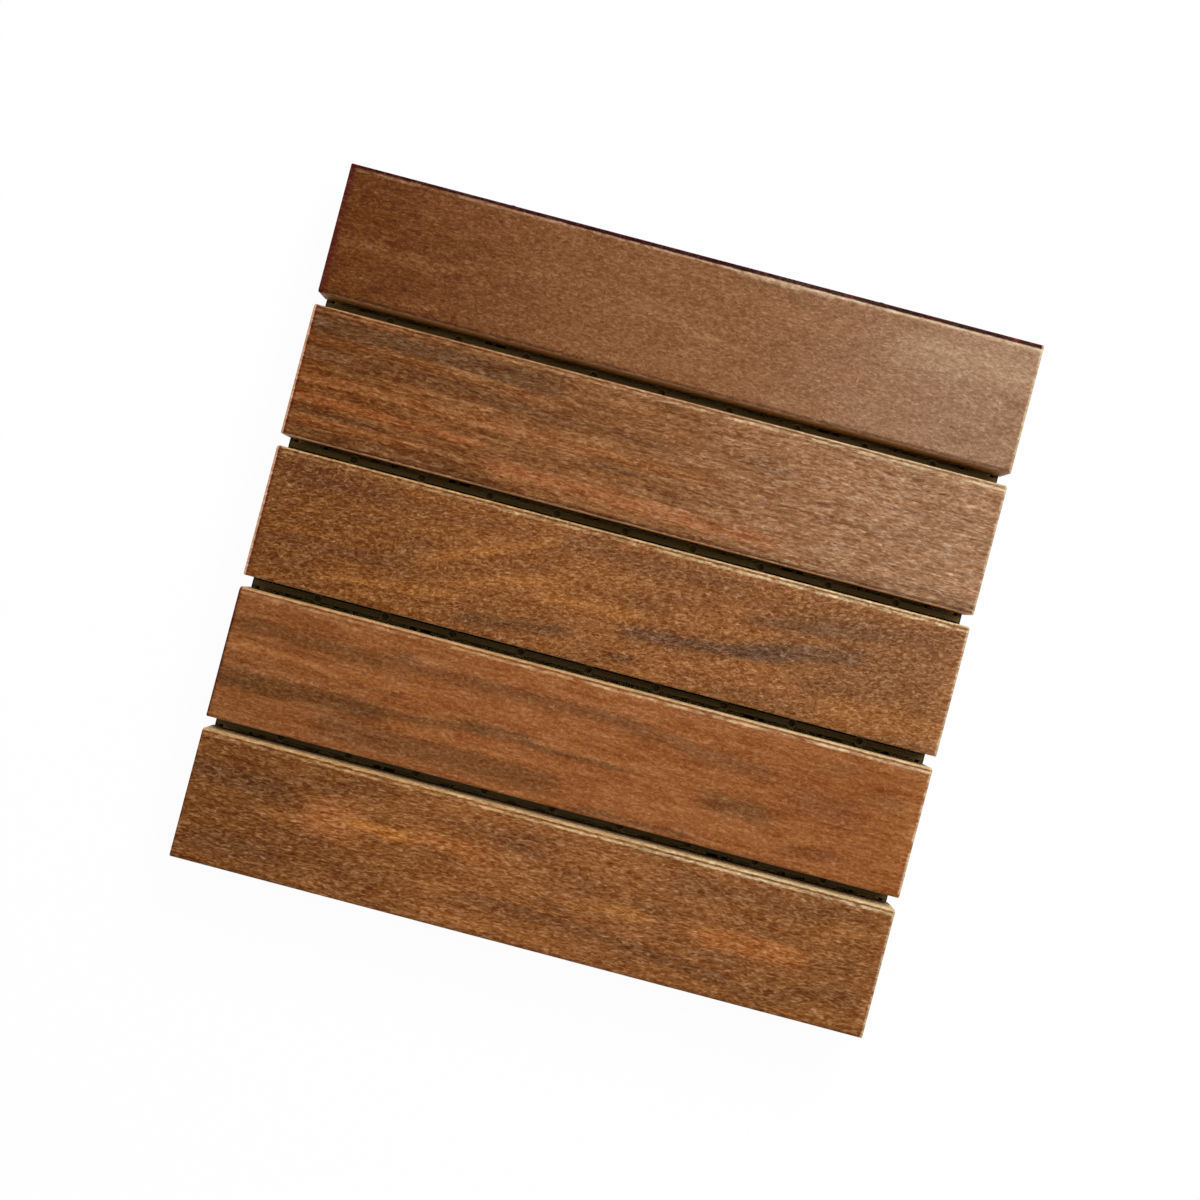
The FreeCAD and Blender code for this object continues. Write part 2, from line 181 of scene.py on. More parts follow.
class Bench:
    """One node tree while it is being put together, for a material or for geometry."""

    def __init__(self, tree: bpy.types.NodeTree) -> None:
        """Take over a tree."""
        self.tree = tree

    def node(
        self,
        kind: str,
        settings: Optional[Mapping[str, Any]] = None,
        sockets: Optional[Mapping[str, Any]] = None,
    ) -> bpy.types.Node:
        """Add a node, make its settings, then fill its sockets.

        Args:
            kind: Blender's name for the type of node.
            settings: The node's own properties, set first.
            sockets: Values or links, by a socket's identifier.

        Returns:
            The new node.
        """
        node = self.tree.nodes.new(kind)
        for name, value in (settings or {}).items():
            setattr(node, name, value)
        for name, value in (sockets or {}).items():
            socket = next(s for s in node.inputs if s.identifier == name)
            self.feed(socket, value)
        return node

    def feed(self, socket: Socket, value: Any) -> None:
        """Link a term or socket to a socket, or set its own value.

        Args:
            socket: The socket to fill.
            value: A term, another node's socket, or a plain value.
        """
        if isinstance(value, Term):
            value = value.socket
        if isinstance(value, Socket):
            self.tree.links.new(value, socket)
        elif socket.type == "RGBA" and len(value) == 3:
            socket.default_value = (*value, 1.0)
        else:
            socket.default_value = value

    def math(self, operation: str, *numbers: Number) -> Term:
        """Add a Math node.

        Args:
            operation: The operation's name.
            numbers: One, two or three numbers.

        Returns:
            The result.
        """
        names = ("Value", "Value_001", "Value_002")
        node = self.node("ShaderNodeMath", {"operation": operation}, dict(zip(names, numbers)))
        return Term(self, node.outputs["Value"])

    def vector(self, x: Number, y: Number, z: Number) -> Socket:
        """Join three numbers to a vector."""
        return self.node("ShaderNodeCombineXYZ", None, {"X": x, "Y": y, "Z": z}).outputs["Vector"]

    def parts(self, vector: Socket) -> tuple[Term, Term, Term]:
        """Part a vector into its three numbers."""
        outputs = self.node("ShaderNodeSeparateXYZ", None, {"Vector": vector}).outputs
        return Term(self, outputs["X"]), Term(self, outputs["Y"]), Term(self, outputs["Z"])

    def noise(
        self, place: Socket, detail: float = 2.0, roughness: float = 0.5, warp: float = 0.0
    ) -> Term:
        """Add soft noise, about 0 to 1 with its middle at 0.5.

        Args:
            place: Where to read it; one unit is about one blotch.
            detail: How many finer layers lie on the first.
            roughness: How strong the finer layers are.
            warp: How much the noise bends itself.

        Returns:
            The noise.
        """
        sockets = {
            "Vector": place,
            "Scale": 1.0,
            "Detail": detail,
            "Roughness": roughness,
            "Distortion": warp,
        }
        return Term(self, self.node("ShaderNodeTexNoise", None, sockets).outputs[0])

    def blend(self, share: Number, first: Any, second: Any) -> Socket:
        """Mix two colours.

        Args:
            share: How much of the second colour there is, 0 to 1.
            first: A colour or a colour socket.
            second: A colour or a colour socket.

        Returns:
            The mixed colour.
        """
        settings = {"data_type": "RGBA", "clamp_factor": True}
        sockets = {"Factor_Float": share, "A_Color": first, "B_Color": second}
        node = self.node("ShaderNodeMix", settings, sockets)
        return next(s for s in node.outputs if s.identifier == "Result_Color")

    def lighten(self, colour: Socket, amount: Term) -> Socket:
        """Add as much red, green and blue as a screen would show, without changing the hue much.

        Args:
            colour: The colour.
            amount: What is added, as a share of full brightness; below 0 it darkens.

        Returns:
            The lighter or darker colour.
        """
        sockets = {"Color": colour, "Gamma": 1 / SCREEN_GAMMA}
        seen = self.node("ShaderNodeGamma", None, sockets).outputs["Color"]
        sockets = {"Vector": seen, "Vector_001": self.vector(amount, amount, amount)}
        lit = self.node("ShaderNodeVectorMath", {"operation": "ADD"}, sockets).outputs["Vector"]
        sockets = {"Vector": lit, "Vector_001": (0.0, 0.0, 0.0)}
        kept = self.node("ShaderNodeVectorMath", {"operation": "MAXIMUM"}, sockets)
        sockets = {"Color": kept.outputs["Vector"], "Gamma": SCREEN_GAMMA}
        return self.node("ShaderNodeGamma", None, sockets).outputs["Color"]


class Finish:
    """What every finish shares: a material with one Principled shader on a node bench."""

    def start(self, name: str) -> tuple[bpy.types.Material, Bench, bpy.types.Node]:
        """Make an empty material.

        Args:
            name: The material's name.

        Returns:
            The material, its bench and its Principled shader.
        """
        material = bpy.data.materials.new(name)
        material.use_nodes = True
        material.node_tree.nodes.clear()
        bench = Bench(material.node_tree)
        shader = bench.node("ShaderNodeBsdfPrincipled")
        sockets = {"Surface": shader.outputs["BSDF"]}
        bench.node("ShaderNodeOutputMaterial", None, sockets)
        return material, bench, shader

    def place(self, bench: Bench, middle: Vector) -> tuple[Term, Term, Term]:
        """Give the position on the piece in millimetres from a middle point.

        Args:
            bench: The material's bench.
            middle: The point that counts as the middle, in metres.

        Returns:
            The position along X, Y and Z.
        """
        position = bench.node("ShaderNodeTexCoord").outputs["Object"]
        settings = {"vector_type": "POINT"}
        shift = tuple(-part / MM for part in middle)
        sockets = {"Vector": position, "Location": shift, "Scale": (1 / MM,) * 3}
        local = bench.node("ShaderNodeMapping", settings, sockets).outputs["Vector"]
        return bench.parts(local)

    def relief(self, bench: Bench, shader: bpy.types.Node, height: Number, depth_mm: float) -> None:
        """Press fine relief into the shader's normal.

        Args:
            bench: The material's bench.
            shader: The shader to feed.
            height: The relief, about 0 to 1.
            depth_mm: How deep the relief is.
        """
        sockets = {"Height": height, "Distance": depth_mm * MM, "Strength": 1.0}
        bump = bench.node("ShaderNodeBump", None, sockets)
        bench.feed(shader.inputs["Normal"], bump.outputs["Normal"])


class Grain(Enum):
    """How the wood's grain is cut: length and width of its flecks, streaks and clouds, in mm."""

    FINE = ((1.9, 0.95), (5.0, 1.9), (13.0, 4.2))
    STREAKED = ((2.6, 0.9), (22.0, 1.5), (60.0, 3.8))
    CURLED = ((2.0, 0.95), (5.5, 1.8), (16.0, 3.6))
    BANDED = ((2.0, 0.95), (14.0, 1.9), (30.0, 4.4))
    FLECKED = ((2.8, 0.9), (7.5, 1.7), (20.0, 4.4))


@dataclass(frozen=True)
class Stroke:
    """One band of the figure: a soft wavering line along the grain, in millimetres.

    Attributes:
        start: Left end and its height, from the middle of the slat.
        end: Right end and its height.
        width: Half the width at its thickest.
        colour: The wood's colour there.
        strength: How fully it covers, 0 to 1.
        bow: How far the middle lies above the straight line.
        ragged: How far its edges wander.
    """

    start: tuple[float, float]
    end: tuple[float, float]
    width: float
    colour: Colour
    strength: float = 0.7
    bow: float = 0.0
    ragged: float = 1.0


@dataclass(frozen=True)
class Arris:
    """How a slat's edges are worn and stained, and the light and shade painted on them.

    Attributes:
        back: Colour of the two painted highlight lines along the +Y arris.
        painted_shade_line: How dark the painted shade line between them is, 0 to 1.
        front: Colour of the -Y arris line and the side's top; where paler, it is painted light.
        front_wall: Colour of the -Y side lower down; where paler than oiled, it is painted light.
        front_painted_shade: How dark the painted shade band above that line is, 0 to 1.
        stain: How strongly the outer +Y edge is stained dark red, 0 to 1.
        left_darkening_mm: How far the darkening of the left end reaches.
        left_tip: How strongly a pale line edges the left end, 0 to 1.
    """

    back: Colour
    painted_shade_line: float
    front: Colour
    front_wall: Colour
    front_painted_shade: float = 0.0
    stain: float = 0.0
    left_darkening_mm: float = 1.0
    left_tip: float = 0.0


@dataclass(frozen=True)
class Spot:
    """A point of a slat as its edges see it, in millimetres from the slat's middle.

    Attributes:
        x: Place along the slat.
        y: Place across it.
        z: Place in height.
        half_x: Half the slat's length.
        half_z: Half its thickness.
        back: How far the point lies from the +Y edge, a little ragged.
        front: How far it lies from the -Y edge, a little ragged.
        top: 1 on the face and its arrises, 0 further down.
        back_side: 1 on the +Y side, 0 elsewhere.
        front_side: 1 on the -Y side, 0 elsewhere.
        ragged: Noise about 0 that roughens borders.
        worn: Noise, about 0 to 1, that breaks up edge lines, painted highlights and stains.
        saw: Noise, about 0 to 1, of the saw's marks.
    """

    x: Term
    y: Term
    z: Term
    half_x: float
    half_z: float
    back: Term
    front: Term
    top: Term
    back_side: Term
    front_side: Term
    ragged: Term
    worn: Term
    saw: Term


@dataclass(frozen=True)
class OiledHardwood(Finish):
    """Oiled tropical hardwood of one slat, with its own tones, grain and figure.

    Attributes:
        left: Colour of the top at the left end.
        middle: Colour at mid-length.
        right: Colour at the right end.
        mottle: Colour of the soft darker patches.
        warm: Colour of the soft golden patches.
        grain: How the fine grain is cut.
        arris: How the edges are worn.
        figure: The bands and patches of the figure.
        mottling: How strong the soft patches are.
        contrast: How far flecks, streaks and clouds stray in brightness, 1 being full white.
        slope: How far the grain climbs to the right.
        ripple: How strong the pale ripples at the right end are.
        gloss: How strongly the oil shines.
        seed: Where in the noise the slat is cut from.
    """

    left: Colour
    middle: Colour
    right: Colour
    mottle: Colour
    warm: Colour
    grain: Grain
    arris: Arris
    figure: tuple[Stroke, ...] = ()
    mottling: float = 0.5
    contrast: tuple[float, float, float] = (0.04, 0.015, 0.008)
    slope: float = 0.0
    ripple: float = 0.0
    gloss: float = 0.13
    seed: float = 0.0

    def build(self, name: str, middle: Vector, half: Vector) -> bpy.types.Material:
        """Make the material of one slat.

        Args:
            name: The slat's name.
            middle: The middle of the slat, in metres.
            half: Half the slat's length, width and thickness, in metres.

        Returns:
            The material.
        """
        material, bench, shader = self.start(f"{name}_wood")
        x, y, z = self.place(bench, middle)
        half_x = half.x / MM

        sway = bench.noise(bench.vector(x / 46, y / 16, z / 30 + self.seed), 1.0) - 0.5
        across = y + sway * 5 - x * self.slope
        layers = [
            bench.noise(
                bench.vector(x / length, across / width, z / width + self.seed + 4 * number),
                1.2,
                0.5,
                0.9,
            )
            for number, (length, width) in enumerate(self.grain.value)
        ]
        fleck, streak, cloud = ((layer - 0.5) / NOISE_SPREAD for layer in layers)

        colour = bench.blend((x / half_x).rise(-1.0, 0.0), self.left, self.middle)
        colour = bench.blend((x / half_x).rise(0.0, 1.0), colour, self.right)
        soft = bench.noise(bench.vector(x / 34, across / 7, z / 9 + self.seed + 3), 3.0, 0.55)
        colour = bench.blend(soft.rise(0.5, 0.72) * self.mottling, colour, self.mottle)
        colour = bench.blend(soft.rise(0.48, 0.28) * self.mottling, colour, self.warm)

        ragged = bench.noise(bench.vector(x / 6, y / 1.8, z / 6 + self.seed + 7), 3.0, 0.65) - 0.5
        edge = ragged + 0.03 * fleck
        for stroke in self.figure:
            mask = self.stroke_mask(stroke, x, y + sway * 2.5, edge)
            share = mask * (stroke.strength * (1 + 0.12 * streak))
            colour = bench.blend(share, colour, stroke.colour)

        if self.ripple:
            colour = self.ripples(bench, colour, (x, across, z), sway, half_x)
        spot = self.spot(bench, (x, y, z), half, ragged)
        for dress in (self.walls, self.arrises, self.stained_edge, self.ends, self.end_grain):
            colour = dress(bench, colour, spot)
        fine, mid, broad = self.contrast
        threads = fleck + 0.08 * (fleck * fleck - 1)
        colour = bench.lighten(colour, fine * threads + mid * streak + broad * cloud)
        bench.feed(shader.inputs["Base Color"], colour)
        shine = 0.42 + 0.2 * soft - 0.015 * fleck
        if self.arris.stain:
            shine = shine + 0.4 * y.rise(half.y / MM - 2.5, half.y / MM - 1.0)
        bench.feed(shader.inputs["Roughness"], shine)
        shader.inputs["Specular IOR Level"].default_value = self.gloss
        self.relief(bench, shader, layers[0] * 0.7 + layers[1] * 0.3, 0.14)
        return material

    def stroke_mask(self, stroke: Stroke, x: Term, y: Term, ragged: Term) -> Term:
        """Say how much a point belongs to a band of the figure.

        Args:
            stroke: The band.
            x: Position along the slat.
            y: Position across the slat, already swayed with the grain.
            ragged: Noise about 0 that roughens the band's edges.

        Returns:
            0 outside the band, 1 in its core.
        """
        (x0, y0), (x1, y1) = stroke.start, stroke.end
        share = (x - x0) / (x1 - x0)
        bow = share * (1 - share) * (4 * stroke.bow)
        line = y0 + share * (y1 - y0) + bow
        off = abs(y - line + ragged * (3.6 * stroke.ragged)) / stroke.width
        reach = min(0.35, 7 / abs(x1 - x0))
        rough = share + ragged * 0.12
        ends = rough.rise(-reach, reach) * rough.rise(1 + reach, 1 - reach)
        return off.rise(1.3, 0.3) * ends

    def ripples(
        self, bench: Bench, colour: Socket, place: tuple[Term, Term, Term], sway: Term, half_x: float
    ) -> Socket:
        """Lay short pale and dark ripples over the right part of the slat.

        Args:
            bench: The material's bench.
            colour: The colour beneath.
            place: Position along, across the grain, and in height.
            sway: Slow noise about 0 that roughens the border.
            half_x: Half the slat's length.

        Returns:
            The rippled colour.
        """
        x, across, z = place
        wave = bench.noise(bench.vector(x / 4.2, across / 1.05, z / 2 + self.seed + 19), 2.0, 0.5, 0.4)
        here = (x + sway * 60).rise(half_x * -0.1, half_x * 0.7) * self.ripple
        colour = bench.blend(wave.rise(0.5, 0.7) * here, colour, shade(186, 154, 128))
        return bench.blend(wave.rise(0.46, 0.3) * here, colour, shade(100, 64, 46))

    def spot(
        self, bench: Bench, place: tuple[Term, Term, Term], half: Vector, ragged: Term
    ) -> Spot:
        """Gather what the colours of the edges depend on.

        Args:
            bench: The material's bench.
            place: The position along X, Y and Z.
            half: Half the slat's length, width and thickness, in metres.
            ragged: Noise about 0 that roughens the borders.

        Returns:
            The point as the edges see it.
        """
        x, y, z = place
        half_x, half_y, half_z = (part / MM for part in half)
        wander = ragged * 0.6
        side = abs(y).rise(half_y - 0.35, half_y - 0.05) * z.rise(half_z - 1.0, half_z - 2.0)
        back_side = side * y.rise(-1.0, 1.0)
        return Spot(
            x=x,
            y=y,
            z=z,
            half_x=half_x,
            half_z=half_z,
            back=half_y - y + wander,
            front=half_y + y + wander,
            top=z.rise(half_z - 3.2, half_z - 1.6),
            back_side=back_side,
            front_side=side - back_side,
            ragged=ragged,
            worn=bench.noise(bench.vector(x / 7, y / 3, z / 3 + self.seed + 23), 3.0, 0.6),
            saw=bench.noise(bench.vector(x / 0.9, y / 5, z / 6 + self.seed), 2.0),
        )

    def walls(self, bench: Bench, colour: Socket, spot: Spot) -> Socket:
        """Colour the long sides and the underside; the sides carry painted light and shade.

        Args:
            bench: The material's bench.
            colour: The colour of the face.
            spot: The point as the edges see it.

        Returns:
            The colour with its walls.
        """
        z, half_z, saw = spot.z, spot.half_z, spot.saw
        # Pale sawn wood; on the +Y side it is also painted light that lifts the wall's shade in the
        # gap.
        pale_sawn_and_lit = bench.blend(saw.rise(0.35, 0.65), shade(216, 178, 126), shade(232, 198, 148))
        # Painted shade: the +Y side darkens deeper down in the gap.
        deep_painted_shade = bench.blend(saw, shade(92, 62, 34), shade(120, 84, 50))
        back_wall = bench.blend(z.rise(half_z - 15.0, half_z - 6.0), deep_painted_shade, pale_sawn_and_lit)
        colour = bench.blend(spot.back_side, colour, back_wall)
        front_wall = bench.lighten(self.arris.front_wall, 0.25 * (saw - 0.5))
        # Painted light: the -Y side grows paler towards its top, in the colour of the front line.
        front_wall = bench.blend(z.rise(half_z - 10.0, half_z - 1.0), front_wall, self.arris.front)
        colour = bench.blend(spot.front_side, colour, front_wall)
        return bench.blend(z.rise(1.2 - half_z, 0.4 - half_z) * 0.7, colour, pale_sawn_and_lit)

    def arrises(self, bench: Bench, colour: Socket, spot: Spot) -> Socket:
        """Paint highlights and shade on the long top edges, and a lit rim on the front one.

        Args:
            bench: The material's bench.
            colour: The colour so far.
            spot: The point as the edges see it.

        Returns:
            The colour with its arrises.
        """
        x, half_x, back, front, top = spot.x, spot.half_x, spot.back, spot.front, spot.top
        # Painted shade: a dark line between the two highlights, fainter to the right where the light
        # comes from.
        painted_shade_line = back.rise(0.6, 1.0) * back.rise(1.8, 1.4) * top * self.arris.painted_shade_line
        rightward = x.rise(-half_x * 0.4, half_x * 0.8)
        colour = bench.blend(painted_shade_line * (1 - 0.4 * rightward), colour, shade(96, 46, 18))
        # Painted highlights: the outer lit band and the inner reflection, stronger and paler to the
        # right.
        outer = back.rise(1.0, 0.5) * top
        inner = back.rise(1.4, 1.9) * back.rise(3.1, 2.4) * top * spot.worn.rise(0.3, 0.6)
        lines = outer.most(inner * (0.35 + 0.65 * x.rise(-half_x, half_x * 0.2)))
        pale = bench.blend(rightward * 0.5, self.arris.back, shade(218, 204, 162))
        colour = bench.blend(lines * 0.9, colour, pale)
        # Painted shade on the -Y arris, which faces away from the light.
        shaded = front.rise(0.3, 0.7) * front.rise(1.9, 1.3) * top * self.arris.front_painted_shade
        colour = bench.blend(shaded, colour, shade(64, 32, 12))
        # Painted light: a pale rim along the -Y edge and the top of its side.
        rim = front.rise(0.6, 0.2) * spot.z.rise(spot.half_z - 6.0, spot.half_z - 2.0)
        return bench.blend(rim * 0.85, colour, self.arris.front)

    def stained_edge(self, bench: Bench, colour: Socket, spot: Spot) -> Socket:
        """Oil the outer wall and stain its top edge dark red, where the slat has such an edge.

        Args:
            bench: The material's bench.
            colour: The colour so far.
            spot: The point as the edges see it.

        Returns:
            The colour with its stain, or as it was.
        """
        if not self.arris.stain:
            return colour
        x, worn = spot.x, spot.worn
        oiled = bench.blend(spot.saw, shade(88, 52, 28), shade(118, 76, 44))
        colour = bench.blend(spot.back_side, colour, oiled)
        reach = 0.9 + 0.7 * x.rise(-spot.half_x, 0.0)
        near_top = (spot.z + worn * 4).rise(spot.half_z - 3.0, spot.half_z)
        stained = spot.back.rise(reach + 0.6, reach) * near_top
        crimson = worn.rise(0.55, 0.7) * x.rise(0, spot.half_x)
        blotch = bench.blend(crimson, shade(44, 2, 5), shade(128, 24, 34))
        return bench.blend(stained * self.arris.stain, colour, blotch)

    def ends(self, bench: Bench, colour: Socket, spot: Spot) -> Socket:
        """Darken the left end, line it where the oil wore off, and paint a highlight on the right.

        Args:
            bench: The material's bench.
            colour: The colour so far.
            spot: The point as the edges see it.

        Returns:
            The colour with its two ends.
        """
        x, half_x, top, ragged = spot.x, spot.half_x, spot.top, spot.ragged
        reach = self.arris.left_darkening_mm
        # The left end is darker.
        left_end = (x + ragged * 1.8).rise(reach * 1.6 - half_x, 0.3 * reach - half_x)
        colour = bench.blend(left_end * top * 0.95, colour, shade(80, 26, 3))
        if self.arris.left_tip:
            tip = (x + ragged * 0.8).rise(1.2 - half_x, 0.7 - half_x)
            colour = bench.blend(tip * top * self.arris.left_tip, colour, shade(206, 156, 118))
        # Painted highlight: the right end, which faces the light, is paler.
        right_end = (x + ragged * 0.9).rise(half_x - 1.3, half_x - 0.5)
        right_end_highlight = right_end * top * spot.worn.rise(0.3, 0.6) * 0.7
        return bench.blend(right_end_highlight, colour, shade(206, 184, 146))

    def end_grain(self, bench: Bench, colour: Socket, spot: Spot) -> Socket:
        """Show year rings and pores on the two cut ends.

        Args:
            bench: The material's bench.
            colour: The colour so far.
            spot: The point as the edges see it.

        Returns:
            The colour with its end grain.
        """
        x, y, z = spot.x, spot.y, spot.z
        rings = bench.noise(bench.vector(x / 9, (y + z * 0.4) / 14, (z - y * 0.2) / 1.1), 2.0)
        pits = bench.noise(bench.vector(x, y / 0.5, z / 0.5 + self.seed), 1.0)
        grain = bench.blend(rings.rise(0.4, 0.6), shade(96, 58, 34), shade(138, 92, 58))
        grain = bench.blend(pits.rise(0.42, 0.3) * 0.7, grain, shade(52, 30, 18))
        cut = abs(x).rise(spot.half_x - 0.16, spot.half_x - 0.04)
        return bench.blend(cut, colour, grain)


@dataclass(frozen=True)
class MouldedPlastic(Finish):
    """Brown polypropylene as it leaves the mould, a little dusty and scuffed.

    Attributes:
        colour: The plastic's own colour, at the rim and beneath.
        painted_light_in_gaps: Its lighter colour inside the tile: painted light against the gaps'
            shade.
        dust: Colour of the dust on faces that look up.
        scuff: Colour of scuffed ribs.
    """

    colour: Colour = shade(62, 50, 32)
    painted_light_in_gaps: Colour = shade(106, 84, 39)
    dust: Colour = shade(128, 106, 68)
    scuff: Colour = shade(116, 94, 56)

    def build(self, name: str, top_mm: float) -> bpy.types.Material:
        """Make the material.

        Args:
            name: The piece's name.
            top_mm: Height of the ribs' upper edges.

        Returns:
            The material.
        """
        material, bench, shader = self.start(f"{name}_plastic")
        x, y, z = self.place(bench, Vector())
        cloud = bench.noise(bench.vector(x / 22, y / 22, z / 9), 3.0)
        pitted = bench.noise(bench.vector(x / 0.35, y / 0.35, z / 0.35), 2.0, 0.6)
        flow = bench.noise(bench.vector(x / 40, y / 3.5, z / 3.5), 2.0)
        inside = abs(x).most(abs(y)).rise(148.8, 147.2)
        # Painted light: the plastic is lighter above its floor inside the tile, where the gaps between
        # the slats are in shade.
        colour = bench.blend(z.rise(1.0, 6.0) * inside, self.colour, self.painted_light_in_gaps)
        colour = bench.blend(cloud.rise(0.4, 0.65) * 0.25 * inside, colour, self.scuff)
        settled = z.rise(top_mm - 0.35, top_mm - 0.05) * flow.rise(0.35, 0.6)
        colour = bench.blend(settled * 0.55, colour, self.dust)
        colour = bench.blend(z.rise(0.5, 0.1) * cloud.rise(0.35, 0.6) * 0.3, colour, self.scuff)
        bench.feed(shader.inputs["Base Color"], colour)
        bench.feed(shader.inputs["Roughness"], 0.52 + 0.16 * cloud + 0.08 * pitted)
        shader.inputs["Specular IOR Level"].default_value = 0.15
        self.relief(bench, shader, pitted * 0.7 + flow * 0.3, 0.03)
        return material


@dataclass(frozen=True)
class TurnedSteel(Finish):
    """Stainless steel of the screws, with turning marks round each shank and head.

    Attributes:
        colour: Colour of the bright steel.
        smudge: Colour where handling has dulled it.
    """

    colour: Colour = shade(176, 174, 170)
    smudge: Colour = shade(128, 124, 118)

    def build(self, name: str) -> bpy.types.Material:
        """Make the material.

        Args:
            name: The piece's name.

        Returns:
            The material.
        """
        material, bench, shader = self.start(f"{name}_steel")
        x, y, z = self.place(bench, Vector())
        rings = bench.noise(bench.vector(x / 6, y / 6, z / 0.12), 2.0)
        cloud = bench.noise(bench.vector(x / 3, y / 3, z / 3), 3.0)
        colour = bench.blend(cloud.rise(0.45, 0.7), self.colour, self.smudge)
        bench.feed(shader.inputs["Base Color"], colour)
        bench.feed(shader.inputs["Roughness"], 0.24 + 0.2 * cloud)
        shader.inputs["Metallic"].default_value = 1.0
        self.relief(bench, shader, rings, 0.01)
        return material


class Recipe:
    """A geometry tree under construction, with named inputs for its sizes."""

    def __init__(self, name: str) -> None:
        """Start an empty tree that gives a geometry.

        Args:
            name: The tree's name.
        """
        self.tree = bpy.data.node_groups.new(name, "GeometryNodeTree")
        self.tree.interface.new_socket("Geometry", in_out="OUTPUT", socket_type="NodeSocketGeometry")
        self.bench = Bench(self.tree)
        self.entry = self.bench.node("NodeGroupInput")
        self.sizes: dict[str, Any] = {}

    def size(self, name: str, value: Any, kind: str = "Float") -> Any:
        """Add a named input.

        Args:
            name: The input's name.
            value: What this piece sets it to.
            kind: Float, Int or Vector.

        Returns:
            A term for a number, or the socket of a vector.
        """
        item = self.tree.interface.new_socket(
            name, in_out="INPUT", socket_type=f"NodeSocket{kind}"
        )
        self.sizes[item.identifier] = value
        socket = next(s for s in self.entry.outputs if s.identifier == item.identifier)
        return socket if kind == "Vector" else Term(self.bench, socket)

    def close(self, geometry: Socket, material: bpy.types.Material, smooth: bool = True) -> None:
        """End the tree with real meshes that carry their material.

        Args:
            geometry: What the tree made.
            material: The finish of the whole piece.
            smooth: Whether round faces are shaded round.
        """
        real = self.bench.node("GeometryNodeRealizeInstances", None, {"Geometry": geometry})
        shaded = self.bench.node(
            "GeometryNodeSetShadeSmooth",
            None,
            {"Geometry": real.outputs["Geometry"], "Shade Smooth": smooth},
        )
        dressed = self.bench.node(
            "GeometryNodeSetMaterial",
            None,
            {"Geometry": shaded.outputs["Geometry"], "Material": material},
        )
        exit_node = self.bench.node("NodeGroupOutput")
        self.tree.links.new(dressed.outputs["Geometry"], exit_node.inputs[0])

    def make(self, name: str) -> bpy.types.Object:
        """Run the tree once and keep its result as a plain mesh.

        Args:
            name: The piece's name.

        Returns:
            The piece, with no modifier.
        """
        seed_mesh = bpy.data.meshes.new(f"{name}_start")
        maker = bpy.data.objects.new(f"{name}_start", seed_mesh)
        bpy.context.scene.collection.objects.link(maker)
        modifier = maker.modifiers.new("recipe", "NODES")
        modifier.node_group = self.tree
        for identifier, value in self.sizes.items():
            modifier[identifier] = value
        return keep_plain(maker, name)


def keep_plain(maker: bpy.types.Object, name: str) -> bpy.types.Object:
    """Run an object's modifiers once and keep what they give as a plain mesh.

    Args:
        maker: The object with its modifiers; it is removed.
        name: The piece's name.

    Returns:
        The piece, with no modifier.
    """
    shown = maker.evaluated_get(bpy.context.evaluated_depsgraph_get())
    mesh = bpy.data.meshes.new_from_object(shown)
    mesh.name = name
    maker.modifiers.clear()
    bpy.data.objects.remove(maker)
    piece = bpy.data.objects.new(name, mesh)
    bpy.context.scene.collection.objects.link(piece)
    return piece


def triangle_count(piece: bpy.types.Object) -> int:
    """Count the triangles of a finished piece."""
    return sum(len(face.vertices) - 2 for face in piece.data.polygons)


def settle(piece: bpy.types.Object, stands_for: Optional[str] = None) -> None:
    """Hand a finished piece over to the frame.

    Args:
        piece: The piece.
        stands_for: The solid that it replaces, if any.
    """
    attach(piece, "root")
    if stands_for:
        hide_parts(stands_for)
    log.info("%s: %d triangles", piece.name, triangle_count(piece))


